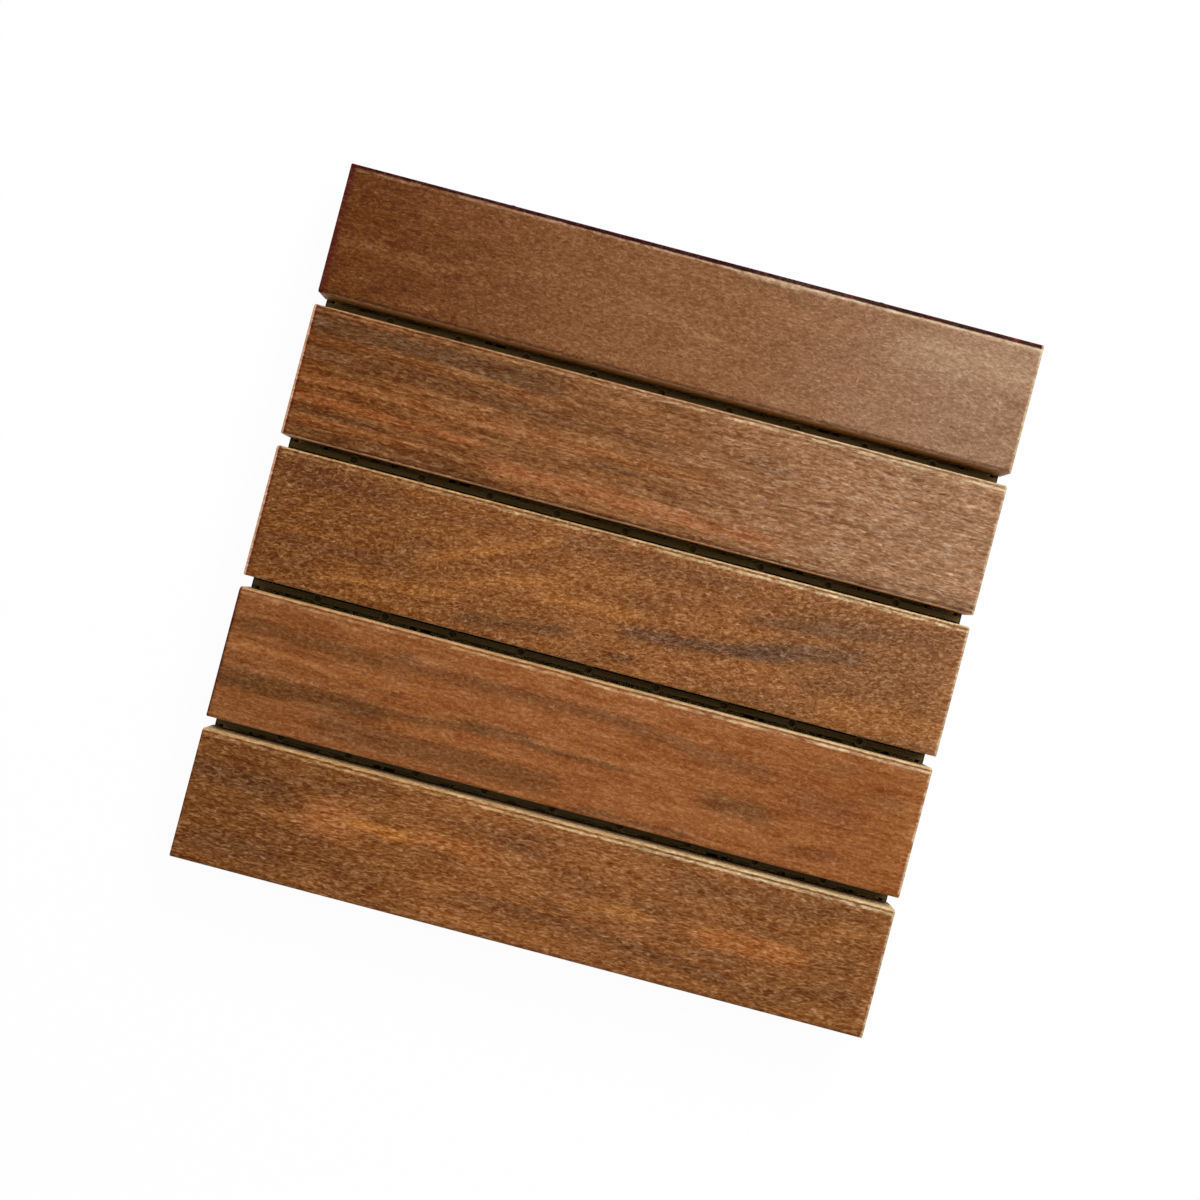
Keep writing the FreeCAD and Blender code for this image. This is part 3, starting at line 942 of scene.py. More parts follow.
@dataclass
class Slat:
    """One board: a block whose arrises are eased by a rule and worn unevenly by hand and foot.

    Attributes:
        name: The solid that it stands for.
        finish: Its wood.
        back_growth_mm: How far the board reaches past its solid into the gap on the +Y side.
        front_growth_mm: The same on the -Y side.
        back_easing_mm: Radius along the +Y top edge.
        front_easing_mm: Radius along the -Y top edge.
        end_easing_mm: Radius round the two ends.
        bottom_easing_mm: Radius along the long bottom edges.
        wear: How far the easing varies, as a share.
        zone_steps: Rows of faces across half of an eased edge.
        spacing_mm: Length of a face along X, Y and Z on the flats.
        pilot_radius_mm: Radius of the two blind pilot holes beneath.
        pilot_depth_mm: Depth of the pilot holes.
        overshoot_mm: How far the drill that cuts them stands out below the board.
        drill_sides: Faces round a pilot hole.
        zones: Share of the block's half side that each eased zone takes, set with the block.
    """

    name: str
    finish: OiledHardwood
    back_growth_mm: float = 0.6
    front_growth_mm: float = 0.6
    back_easing_mm: float = 1.9
    front_easing_mm: float = 1.0
    end_easing_mm: float = 0.5
    bottom_easing_mm: float = 0.8
    wear: float = 0.3
    zone_steps: int = 4
    spacing_mm: tuple[float, float, float] = (1.5, 5.0, 4.0)
    pilot_radius_mm: float = 2.05
    pilot_depth_mm: float = 14.5
    overshoot_mm: float = 1.0
    drill_sides: int = 24
    zones: tuple[float, ...] = field(default=(), init=False)

    def build(self) -> bpy.types.Object:
        """Make the board and dress it.

        Returns:
            The finished piece.
        """
        low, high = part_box(self.name)
        solid_middle = (low + high) / 2
        low = low - Vector((0.0, self.front_growth_mm * MM, 0.0))
        high = high + Vector((0.0, self.back_growth_mm * MM, 0.0))
        middle = (low + high) / 2
        half = (high - low) / 2
        material = self.finish.build(self.name, middle, half)
        recipe = Recipe(f"{self.name}_eased_board")
        block = self.block(recipe, half)
        eased = self.ease(recipe, block, middle, half)
        drilled = self.drill(recipe, eased, solid_middle, half)
        recipe.close(drilled, material)
        piece = recipe.make(f"{self.name}_board")
        settle(piece, self.name)
        return piece

    def points_along(self, half_mm: float, spacing_mm: float) -> int:
        """Count the points along one side of the block, eased zones included.

        Args:
            half_mm: Half the length of that side.
            spacing_mm: Length of a face on its flat.

        Returns:
            The number of points.
        """
        return int(2 * half_mm / spacing_mm) + 1 + 2 * self.zone_steps

    def block(self, recipe: Recipe, half: Vector) -> Socket:
        """Make the plain block, 2 units a side, whose points the rule then places.

        Args:
            recipe: The tree.
            half: Half the board's sizes, in metres.

        Returns:
            The block's mesh.
        """
        pairs = zip(half, self.spacing_mm)
        counts = [self.points_along(part / MM, spacing) for part, spacing in pairs]
        names = ("Vertices X", "Vertices Y", "Vertices Z")
        sockets: dict[str, Any] = {"Size": (2.0, 2.0, 2.0)}
        for name, count in zip(names, counts):
            sockets[name] = recipe.size(f"{name} count", count, "Int")
        self.zones = tuple(2 * self.zone_steps / (count - 1) for count in counts)
        return recipe.bench.node("GeometryNodeMeshCube", None, sockets).outputs["Mesh"]

    def worn_radius(self, recipe: Recipe, cube: tuple[Term, Term, Term], run: Term) -> Term:
        """Give the easing at a point: each edge has its own radius, worn unevenly.

        Args:
            recipe: The tree.
            cube: The point on the plain block, from -1 to 1 along each axis.
            run: Its place along the board, in millimetres.

        Returns:
            The radius in metres.
        """
        bench = recipe.bench
        back = recipe.size("Back easing", self.back_easing_mm * MM)
        front = recipe.size("Front easing", self.front_easing_mm * MM)
        bottom = recipe.size("Bottom easing", self.bottom_easing_mm * MM)
        wear = recipe.size("Wear", self.wear)
        seed = recipe.size("Seed", self.finish.seed)
        edge = cube[1].sign()
        broad = bench.noise(bench.vector(run / 26, edge * 3, seed), 3.0, 0.6) - 0.5
        nick = bench.noise(bench.vector(run / 3.2, edge * 5, seed + 9), 1.0).rise(0.66, 0.8)
        is_top = cube[2].rise(-0.2, 0.2)
        top = front + (back - front) * cube[1].rise(-0.2, 0.2)
        return (bottom + (top - bottom) * is_top) * (1 + wear * (broad * 1.6 + nick * 0.6))

    def ease(self, recipe: Recipe, block: Socket, middle: Vector, half: Vector) -> Socket:
        """Place the block's points: flats, then the worn long arrises, then the ends.

        Args:
            recipe: The tree.
            block: The plain block.
            middle: The board's middle, in metres.
            half: Half the board's sizes, in metres.

        Returns:
            The eased board.
        """
        bench = recipe.bench
        position = bench.node("GeometryNodeInputPosition").outputs["Position"]
        cube = bench.parts(position)
        flats = []
        corners = []
        for part, zone in zip(cube, self.zones):
            flats.append((abs(part) / (1 - zone)).held())
            corners.append(((abs(part) - (1 - zone)) / zone).held())
        signs = [part.sign() for part in cube]

        half_x = recipe.size("Half length", half.x)
        half_y = recipe.size("Half width", half.y)
        half_z = recipe.size("Half thickness", half.z)
        end = recipe.size("End easing", self.end_easing_mm * MM)
        radius = self.worn_radius(recipe, cube, cube[0] * half_x / MM)

        _, side, rise = corners
        reach = side.most(rise)
        length = (side * side + rise * rise).root().most(TINY)
        side = side * reach / length
        rise = rise * reach / length

        inset = radius * (1 - reach)
        depth = (1 - inset / end).held()
        tip = corners[0]
        peak = depth.most(tip)
        span = (depth * depth + tip * tip).root().most(TINY)
        tip = tip * peak / span
        pull = end * (depth - depth * peak / span)
        heading = (side * side + rise * rise).root().most(TINY)

        x = signs[0] * (flats[0] * (half_x - end) + end * tip)
        y = signs[1] * (flats[1] * (half_y - radius) + radius * side - pull * side / heading)
        z = signs[2] * (flats[2] * (half_z - radius) + radius * rise - pull * rise / heading)
        shift = recipe.size("Middle", tuple(middle), "Vector")
        placed = bench.node(
            "ShaderNodeVectorMath",
            {"operation": "ADD"},
            {"Vector": bench.vector(x, y, z), "Vector_001": shift},
        )
        sockets = {"Geometry": block, "Position": placed.outputs["Vector"]}
        return bench.node("GeometryNodeSetPosition", None, sockets).outputs["Geometry"]

    def drill(self, recipe: Recipe, board: Socket, middle: Vector, half: Vector) -> Socket:
        """Cut the two blind pilot holes into the underside.

        Args:
            recipe: The tree.
            board: The eased board.
            middle: The solid's middle, in metres.
            half: Half the board's sizes, in metres.

        Returns:
            The drilled board.
        """
        bench = recipe.bench
        radius = recipe.size("Pilot radius", self.pilot_radius_mm * MM)
        depth = recipe.size("Pilot depth", self.pilot_depth_mm * MM)
        reach = depth + self.overshoot_mm * MM
        sockets = {"Vertices": self.drill_sides, "Radius": radius, "Depth": reach}
        drill = bench.node("GeometryNodeMeshCylinder", None, sockets).outputs["Mesh"]
        cut = bench.node("GeometryNodeMeshBoolean", {"operation": "DIFFERENCE"}, {"Mesh 1": board})
        height = middle.z - half.z + (self.pilot_depth_mm - self.overshoot_mm) / 2 * MM
        for x, y in SCREW_PLACES_MM:
            place = (middle.x + x * MM, middle.y + y * MM, height)
            sockets = {"Geometry": drill, "Translation": place}
            moved = bench.node("GeometryNodeTransform", None, sockets).outputs["Geometry"]
            bench.feed(cut.inputs["Mesh 2"], moved)
        return cut.outputs["Mesh"]


@dataclass
class BaseGrid:
    """The moulded grid: the solid's own form with its edges softened as a mould leaves them.

    Attributes:
        softening_mm: Width of the softened edges.
        softening_steps: Faces across one of them.
        sharp_deg: Turn between two faces past which their edge is softened.
        flat_deg: Turn below which two faces count as one.
        join_within: How near each other, in metres, corners are joined.
        finish: Its plastic.
    """

    softening_mm: float = 0.18
    softening_steps: int = 2
    sharp_deg: float = 35.0
    flat_deg: float = 0.5
    join_within: float = 2e-6
    finish: MouldedPlastic = MouldedPlastic()

    def build(self) -> bpy.types.Object:
        """Copy the solid, join its loose faces, soften its edges and dress it.

        Returns:
            The finished piece.
        """
        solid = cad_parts["base_grid"]
        mesh = solid.data.copy()
        mesh.materials.clear()
        mesh.materials.append(self.finish.build("moulded_grid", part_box("base_grid")[1].z / MM))
        shape = bmesh.new()
        shape.from_mesh(mesh)
        bmesh.ops.remove_doubles(shape, verts=shape.verts, dist=self.join_within)
        flat = math.radians(self.flat_deg)
        bmesh.ops.dissolve_limit(shape, angle_limit=flat, verts=shape.verts, edges=shape.edges)
        for face in shape.faces:
            face.smooth = True
            face.material_index = 0
        shape.to_mesh(mesh)
        shape.free()
        for layer in list(mesh.uv_layers):
            mesh.uv_layers.remove(layer)
        maker = bpy.data.objects.new("grid_start", mesh)
        bpy.context.scene.collection.objects.link(maker)
        bevel = maker.modifiers.new("soft_edges", "BEVEL")
        bevel.width = self.softening_mm * MM
        bevel.segments = self.softening_steps
        bevel.limit_method = "ANGLE"
        bevel.angle_limit = math.radians(self.sharp_deg)
        bevel.harden_normals = True
        piece = keep_plain(maker, "moulded_grid")
        settle(piece, "base_grid")
        return piece


@dataclass
class DrainCollars:
    """Small moulded collars round the drain notches on the ribs between the slats.

    Attributes:
        outer_mm: Outside diameter.
        bore_mm: Diameter of the hole.
        floor_mm: Height of the notch's floor.
        height_mm: How far a collar stands above it.
        rounding_mm: Radius of its edges.
        sides: Faces round a collar.
        along_count: Notches on a rib.
        across_count: Ribs.
        finish: Their plastic.
    """

    outer_mm: float = 5.0
    bore_mm: float = 2.6
    floor_mm: float = 9.9
    height_mm: float = 2.45
    rounding_mm: float = 0.3
    sides: int = 28
    along_count: int = 9
    across_count: int = 4
    finish: MouldedPlastic = MouldedPlastic(dust=shade(132, 112, 74))

    def build(self) -> bpy.types.Object:
        """Set a collar on every notch and dress them.

        Returns:
            The finished piece.
        """
        recipe = Recipe("drain_collars")
        sockets = {"Points": self.notches(recipe), "Instance": self.collar(recipe)}
        copies = recipe.bench.node("GeometryNodeInstanceOnPoints", None, sockets)
        material = self.finish.build("drain_collars", self.floor_mm + self.height_mm)
        recipe.close(copies.outputs["Instances"], material)
        piece = recipe.make("drain_collars")
        settle(piece)
        return piece

    def collar(self, recipe: Recipe) -> Socket:
        """Sweep the rounded wall of one collar round its bore.

        Args:
            recipe: The tree.

        Returns:
            The collar's mesh, round the origin.
        """
        bench = recipe.bench
        wall = (self.outer_mm - self.bore_mm) / 2
        sockets = {
            "Width": recipe.size("Wall", wall * MM),
            "Height": recipe.size("Height", self.height_mm * MM),
        }
        profile = bench.node("GeometryNodeCurvePrimitiveQuadrilateral", None, sockets)
        sockets = {"Curve": profile.outputs["Curve"], "Count": 3, "Radius": self.rounding_mm * MM}
        rounded = bench.node("GeometryNodeFilletCurve", {"mode": "POLY"}, sockets)
        radius = recipe.size("Ring radius", (self.bore_mm + wall) / 2 * MM)
        sockets = {"Resolution": self.sides, "Radius": radius}
        ring = bench.node("GeometryNodeCurvePrimitiveCircle", None, sockets)
        sockets = {"Curve": ring.outputs["Curve"], "Profile Curve": rounded.outputs["Curve"]}
        return bench.node("GeometryNodeCurveToMesh", None, sockets).outputs["Mesh"]

    def notches(self, recipe: Recipe) -> Socket:
        """Mark the drain notches, at half a collar's height.

        Args:
            recipe: The tree.

        Returns:
            One point for each collar.
        """
        bench = recipe.bench
        along = DRAIN_PITCH_MM * (self.along_count - 1)
        across = SLAT_PITCH_MM * (self.across_count - 1)
        sockets = {
            "Size X": recipe.size("Run along", along * MM),
            "Size Y": recipe.size("Run across", across * MM),
            "Vertices X": recipe.size("Count along", self.along_count, "Int"),
            "Vertices Y": recipe.size("Count across", self.across_count, "Int"),
        }
        spread = bench.node("GeometryNodeMeshGrid", None, sockets).outputs["Mesh"]
        lift = (0.0, 0.0, (self.floor_mm + self.height_mm / 2) * MM)
        sockets = {"Geometry": spread, "Translation": lift}
        return bench.node("GeometryNodeTransform", None, sockets).outputs["Geometry"]


@dataclass
class SlatScrews:
    """The ten screws, heads down: a domed head with a hexagon socket, and a threaded shank.

    Attributes:
        head_radius_mm: Radius of the head.
        head_height_mm: Height of the head.
        seat_mm: Height of the strip that the head pulls against.
        length_mm: Length of the shank.
        rim_mm: Height of the head's plain rim, and its set-back at the seat.
        neck_radius_mm: Radius of the plain part by the head.
        neck_end_mm: Where the plain part starts to taper above the seat.
        core_start_mm: Where it has tapered to the core.
        thread_radius_mm: Outside radius of the thread.
        core_radius_mm: Radius between the threads.
        pitch_mm: From thread to thread.
        thread_start_mm: Where the thread starts above the seat.
        plain_tip_mm: Length of the tip without a thread.
        taper_mm: Length of the tapering tip.
        point_mm: Length of its blunter point.
        socket_mm: Width of the hexagon socket.
        socket_depth_mm: Depth of the socket.
        key_mm: Length of the prism that cuts the socket.
        sides: Faces round a screw.
        slat_count: Number of slats.
        finish: Their steel.
    """

    head_radius_mm: float = 4.0
    head_height_mm: float = 2.6
    seat_mm: float = 7.5
    length_mm: float = 16.0
    rim_mm: float = 0.15
    neck_radius_mm: float = 1.95
    neck_end_mm: float = 2.4
    core_start_mm: float = 2.9
    thread_radius_mm: float = 1.98
    core_radius_mm: float = 1.45
    pitch_mm: float = 1.6
    thread_start_mm: float = 2.6
    plain_tip_mm: float = 2.0
    taper_mm: float = 2.2
    point_mm: float = 0.6
    socket_mm: float = 3.0
    socket_depth_mm: float = 1.5
    key_mm: float = 4.0
    sides: int = 32
    slat_count: int = 5
    finish: TurnedSteel = TurnedSteel()

    def build(self) -> bpy.types.Object:
        """Make one screw, set a copy at each place and dress them.

        Returns:
            The finished piece.
        """
        turned = bpy.data.objects.new("turned_screw", self.turned_mesh())
        bpy.context.scene.collection.objects.link(turned)
        recipe = Recipe("slat_screws")
        bench = recipe.bench
        screw = bench.node("GeometryNodeJoinGeometry")
        bench.feed(screw.inputs["Geometry"], self.socketed(recipe, turned))
        bench.feed(screw.inputs["Geometry"], self.thread(recipe))
        copies = self.set_out(recipe, screw.outputs["Geometry"])
        recipe.close(copies, self.finish.build("slat_screws"), smooth=False)
        piece = recipe.make("screws")
        bpy.data.objects.remove(turned)
        settle(piece, "slat_screws")
        return piece

    def outline_mm(self) -> list[tuple[float, float]]:
        """Give the turned outline from the middle of the head to the tip.

        Returns:
            Radius and height of each corner.
        """
        head, radius, rim = self.head_height_mm, self.head_radius_mm, self.rim_mm
        dome = [
            (radius * math.sin(a), -head * (0.45 + 0.55 * math.cos(a)))
            for a in (math.radians(d) for d in range(0, 91, 15))
        ]
        neck, core, length = self.neck_radius_mm, self.core_radius_mm, self.length_mm
        seat = [(radius, -rim), (radius - rim, 0.0)]
        shank = [(neck, 0.0), (neck, self.neck_end_mm), (core, self.core_start_mm)]
        tip = [(core, length - self.taper_mm), (core * 0.5, length - self.point_mm), (0.0, length)]
        return dome + seat + shank + tip

    def turned_mesh(self) -> bpy.types.Mesh:
        """Spin the outline round the screw's axis.

        Returns:
            One closed turned screw with no thread or socket.
        """
        shape = bmesh.new()
        rings = []
        for radius, height in self.outline_mm():
            count = 1 if radius < TINY else self.sides
            rings.append([
                shape.verts.new((
                    radius * math.cos(2 * math.pi * i / self.sides) * MM,
                    radius * math.sin(2 * math.pi * i / self.sides) * MM,
                    height * MM,
                ))
                for i in range(count)
            ])
        for lower, upper in zip(rings, rings[1:]):
            for i in range(self.sides):
                j = (i + 1) % self.sides
                corners = [lower[i % len(lower)], lower[j % len(lower)]]
                corners += [upper[j % len(upper)], upper[i % len(upper)]]
                unique = list(dict.fromkeys(corners))
                if len(unique) > 2:
                    shape.faces.new(unique)
        bmesh.ops.recalc_face_normals(shape, faces=shape.faces)
        mesh = bpy.data.meshes.new("turned_screw")
        shape.to_mesh(mesh)
        shape.free()
        return mesh

    def socketed(self, recipe: Recipe, turned: bpy.types.Object) -> Socket:
        """Cut the hexagon socket into the head.

        Args:
            recipe: The tree.
            turned: The turned screw.

        Returns:
            The screw with its socket.
        """
        bench = recipe.bench
        blank = bench.node("GeometryNodeObjectInfo", None, {"Object": turned}).outputs["Geometry"]
        radius = self.socket_mm / math.sqrt(3) * MM
        sockets = {"Vertices": 6, "Radius": radius, "Depth": self.key_mm * MM}
        key = bench.node("GeometryNodeMeshCylinder", None, sockets).outputs["Mesh"]
        drop = self.socket_depth_mm - self.head_height_mm - self.key_mm / 2
        sockets = {"Geometry": key, "Translation": (0.0, 0.0, drop * MM)}
        key = bench.node("GeometryNodeTransform", None, sockets).outputs["Geometry"]
        cut = bench.node("GeometryNodeMeshBoolean", {"operation": "DIFFERENCE"}, {"Mesh 1": blank})
        bench.feed(cut.inputs["Mesh 2"], key)
        return cut.outputs["Mesh"]

    def thread(self, recipe: Recipe) -> Socket:
        """Wind the thread round the core.

        Args:
            recipe: The tree.

        Returns:
            The thread's ridge.
        """
        bench = recipe.bench
        threaded = self.length_mm - self.thread_start_mm - self.plain_tip_mm
        sockets = {
            "Resolution": 20,
            "Rotations": recipe.size("Turns", threaded / self.pitch_mm),
            "Start Radius": self.core_radius_mm * MM,
            "End Radius": self.core_radius_mm * MM,
            "Height": recipe.size("Threaded length", threaded * MM),
        }
        helix = bench.node("GeometryNodeCurveSpiral", None, sockets)
        crest = self.thread_radius_mm - self.core_radius_mm
        sockets = {"Resolution": 3, "Radius": crest * MM}
        ridge = bench.node("GeometryNodeCurvePrimitiveCircle", None, sockets)
        sockets = {
            "Curve": helix.outputs["Curve"],
            "Profile Curve": ridge.outputs["Curve"],
            "Fill Caps": True,
        }
        wound = bench.node("GeometryNodeCurveToMesh", None, sockets).outputs["Mesh"]
        sockets = {"Geometry": wound, "Translation": (0.0, 0.0, self.thread_start_mm * MM)}
        return bench.node("GeometryNodeTransform", None, sockets).outputs["Geometry"]

    def set_out(self, recipe: Recipe, screw: Socket) -> Socket:
        """Set a copy of the screw under both ends of every slat.

        Args:
            recipe: The tree.
            screw: One screw, its seat at the origin.

        Returns:
            All the screws.
        """
        bench = recipe.bench
        both = bench.node("GeometryNodeJoinGeometry")
        run = SLAT_PITCH_MM * (self.slat_count - 1)
        for x, shift in SCREW_PLACES_MM:
            sockets = {
                "Count": self.slat_count,
                "Start Location": (x * MM, (shift - run / 2) * MM, self.seat_mm * MM),
                "Offset": (0.0, SLAT_PITCH_MM * MM, 0.0),
            }
            column = bench.node("GeometryNodeMeshLine", {"mode": "OFFSET"}, sockets)
            sockets = {"Points": column.outputs["Mesh"], "Instance": screw}
            copies = bench.node("GeometryNodeInstanceOnPoints", None, sockets)
            bench.feed(both.inputs["Geometry"], copies.outputs["Instances"])
        return both.outputs["Geometry"]


@dataclass(frozen=True)
class Lamp:
    """A square soft light that faces the tile.

    Attributes:
        name: The lamp's name.
        place: Where it hangs.
        size: Length of its side.
        power: Its power in watts.
    """

    name: str
    place: tuple[float, float, float]
    size: float
    power: float


@dataclass
class Studio:
    """The pale floor, the soft lights and the camera straight above the tile, in metres.

    Attributes:
        turn_deg: How far the camera is turned about the vertical.
        stand: The point above which the camera stands.
        camera_height: Height of the camera.
        lens_mm: Focal length.
        sensor_mm: Width of the sensor.
        lamps: The soft lights.
        room_light: Strength of the light from all sides.
        mirrored_light: The same light as shiny faces mirror it.
        floor_reach: From the middle of the floor to its edges.
        floor_colour: Colour of the floor.
        sheltered: Half the side of the square beneath the tile.
        sheltered_border: Width of that square's soft border.
        painted_bounce_colour: Colour of the floor there, a tan painted bounce light for the grid's
            hollows.
        whiteness: How much of the floor shows as plain white.
    """

    turn_deg: float = 14.77
    stand: tuple[float, float] = (-0.00282, -0.00042)
    camera_height: float = 0.732
    lens_mm: float = 50.4
    sensor_mm: float = 36.0
    lamps: tuple[Lamp, ...] = (
        Lamp("key_panel", (0.35, 1.25, 1.0), 0.7, 13.8),
        Lamp("sheen_panel", (0.68, 0.60, 1.55), 0.8, 15.5),
    )
    room_light: float = 0.44
    mirrored_light: float = 0.24
    floor_reach: float = 2.5
    floor_colour: Colour = (0.86, 0.86, 0.86)
    sheltered: float = 0.149
    sheltered_border: float = 0.0015
    # Painted bounce light: the tan floor beneath the tile lifts the shade in the grid's hollows.
    painted_bounce_colour: Colour = shade(236, 196, 116)
    whiteness: float = 0.96

    def build(self) -> None:
        """Set up floor, backdrop, lamps and camera."""
        self.floor()
        self.world()
        for lamp in self.lamps:
            self.hang(lamp)
        self.camera()

    def floor(self) -> None:
        """Lay a pale floor that shows near white to the camera and keeps the tile's shadow."""
        mesh = bpy.data.meshes.new("floor")
        reach = self.floor_reach
        corners = [(-reach, -reach, 0), (reach, -reach, 0), (reach, reach, 0), (-reach, reach, 0)]
        mesh.from_pydata([Vector(c) for c in corners], [], [(0, 1, 2, 3)])
        floor = bpy.data.objects.new("floor", mesh)
        bpy.context.scene.collection.objects.link(floor)
        material = bpy.data.materials.new("pale_floor")
        material.use_nodes = True
        material.node_tree.nodes.clear()
        bench = Bench(material.node_tree)
        x, y, _ = bench.parts(bench.node("ShaderNodeTexCoord").outputs["Object"])
        off = abs(x).most(abs(y))
        away = off.rise(self.sheltered - self.sheltered_border, self.sheltered)
        # Painted bounce light: a tan patch under the tile lifts the shade in the grid's hollows.
        colour = bench.blend(away, self.painted_bounce_colour, self.floor_colour)
        paint = bench.node("ShaderNodeBsdfDiffuse", None, {"Color": colour})
        glow = bench.node("ShaderNodeEmission", None, {"Color": WHITE, "Strength": 1.0})
        path = bench.node("ShaderNodeLightPath").outputs
        seen = Term(bench, path["Is Camera Ray"]).most(Term(bench, path["Is Glossy Ray"]))
        seen = seen.most(Term(bench, path["Is Transmission Ray"]))
        sockets = {
            "Fac": seen * away * self.whiteness,
            "Shader": paint.outputs["BSDF"],
            "Shader_001": glow.outputs["Emission"],
        }
        mixed = bench.node("ShaderNodeMixShader", None, sockets)
        bench.node("ShaderNodeOutputMaterial", None, {"Surface": mixed.outputs["Shader"]})
        mesh.materials.append(material)

    def world(self) -> None:
        """Surround the tile with soft white light, seen as white."""
        world = bpy.data.worlds.new("soft_room")
        bpy.context.scene.world = world
        world.use_nodes = True
        world.node_tree.nodes.clear()
        bench = Bench(world.node_tree)
        path = bench.node("ShaderNodeLightPath").outputs
        seen = Term(bench, path["Is Camera Ray"]).most(Term(bench, path["Is Transmission Ray"]))
        glossy = Term(bench, path["Is Glossy Ray"])
        strength = self.room_light + (1 - self.room_light) * seen
        strength = strength - (self.room_light - self.mirrored_light) * glossy
        sockets = {"Color": WHITE, "Strength": strength}
        light = bench.node("ShaderNodeBackground", None, sockets)
        bench.node("ShaderNodeOutputWorld", None, {"Surface": light.outputs["Background"]})

    def hang(self, lamp: Lamp) -> None:
        """Hang a lamp so that it faces the tile.

        Args:
            lamp: The lamp.
        """
        data = bpy.data.lights.new(lamp.name, "AREA")
        data.shape = "SQUARE"
        data.size = lamp.size
        data.energy = lamp.power
        panel = bpy.data.objects.new(lamp.name, data)
        bpy.context.scene.collection.objects.link(panel)
        aim = Vector(lamp.place).to_track_quat("Z", "Y").to_matrix().to_4x4()
        panel.matrix_world = Matrix.Translation(lamp.place) @ aim

    def camera(self) -> None:
        """Stand the camera straight above the tile, turned as the photograph is."""
        data = bpy.data.cameras.new("photo_camera")
        data.lens = self.lens_mm
        data.sensor_width = self.sensor_mm
        data.clip_start = 0.01
        data.clip_end = 20.0
        camera = bpy.data.objects.new("photo_camera", data)
        bpy.context.scene.collection.objects.link(camera)
        turn = Matrix.Rotation(math.radians(self.turn_deg), 4, "Z")
        camera.matrix_world = Matrix.Translation((*self.stand, self.camera_height)) @ turn
        bpy.context.scene.camera = camera


# In each Arris below, back colours painted highlights, groove and front_painted_shade set painted
# shade, and a front or front_wall paler than the wood is painted light.
def bright_end(colour: Colour) -> Stroke:
    """Brighten a slat's right end with one broad soft patch."""
    return Stroke((144, 0), (170, 0), 30.0, colour, 0.5)


def quiet_wood() -> OiledHardwood:
    """Describe slat 1: plain, fine grained, paler to the right with painted sheen, its edge stained.

    Returns:
        The slat's wood.
    """
    return OiledHardwood(
        left=shade(91, 46, 2),
        middle=shade(124, 80, 44),
        # Part of the paleness to the right is painted sheen.
        right=shade(143, 107, 80),
        mottle=shade(105, 63, 32),
        warm=shade(139, 91, 52),
        grain=Grain.FINE,
        arris=Arris(
            back=shade(176, 138, 108),
            painted_shade_line=0.2,
            front=shade(156, 112, 74),
            front_wall=shade(155, 115, 62),
            front_painted_shade=0.55,
            stain=0.97,
            left_darkening_mm=3.0,
        ),
        figure=(
            Stroke((-118, 18), (-66, 17), 6.0, shade(115, 63, 32), 0.5),
            Stroke((-20, 1), (28, -8), 2.2, shade(149, 103, 63), 0.3),
            Stroke((-20, 8), (60, 3), 2.6, shade(111, 71, 40), 0.3),
            Stroke((10, 22), (100, 22), 5.0, shade(121, 83, 52), 0.35),
            # Painted sheen: a pale strip along the top edge and a broad pale patch, both at the right.
            Stroke((20, 26.3), (156, 26.0), 2.2, shade(194, 166, 135), 0.6, ragged=0.4),
            Stroke((90, 10), (160, 16), 10.0, shade(170, 138, 108), 0.35),
        ),
        mottling=0.3,
        contrast=(0.035, 0.008, 0.006),
        seed=1.3,
    )


def streaked_wood() -> OiledHardwood:
    """Describe slat 2: long straight streaks, with pale ripples at the right.

    Returns:
        The slat's wood.
    """
    return OiledHardwood(
        left=shade(107, 58, 11),
        middle=shade(127, 80, 40),
        # Part of the paleness to the right is painted sheen.
        right=shade(145, 105, 72),
        mottle=OLIVE,
        warm=shade(150, 95, 53),
        grain=Grain.STREAKED,
        arris=Arris(
            back=shade(166, 124, 84),
            painted_shade_line=0.5,
            front=shade(214, 166, 122),
            front_wall=shade(150, 108, 66),
            front_painted_shade=0.6,
            left_darkening_mm=1.8,
            left_tip=0.85,
        ),
        figure=(
            Stroke((-152, 21), (-40, 20), 5.5, OLIVE, 0.75),
            Stroke((-128, 16), (-58, 15.5), 0.9, shade(150, 99, 53), 0.5, ragged=0.5),
            Stroke((-150, 9), (-30, 8), 4.2, shade(89, 54, 25), 0.55),
            Stroke((-110, 3.5), (-62, 3.5), 0.7, shade(146, 95, 50), 0.5, ragged=0.5),
            Stroke((-155, -2.4), (30, -2.0), 2.4, AMBER, 0.5, ragged=0.6),
            Stroke((-150, -10.4), (-70, -11), 1.9, shade(144, 78, 35), 0.55, ragged=0.8),
            Stroke((-20, -7.5), (2, -7.0), 1.3, UMBER, 0.6),
            Stroke((-30, 8), (12, 6.5), 3.0, shade(99, 64, 35), 0.45),
            Stroke((-150, -16), (-110, -16), 1.8, UMBER, 0.5),
            Stroke((-145, -19.5), (-90, -19), 1.0, AMBER, 0.55, ragged=0.4),
            Stroke((-60, -19), (66, -20), 3.6, shade(156, 93, 50), 0.6),
            Stroke((-150, -24.5), (-60, -24.5), 2.0, OLIVE, 0.5),
        ),
        mottling=0.35,
        contrast=(0.046, 0.024, 0.007),
        ripple=0.45,
        seed=2.9,
    )


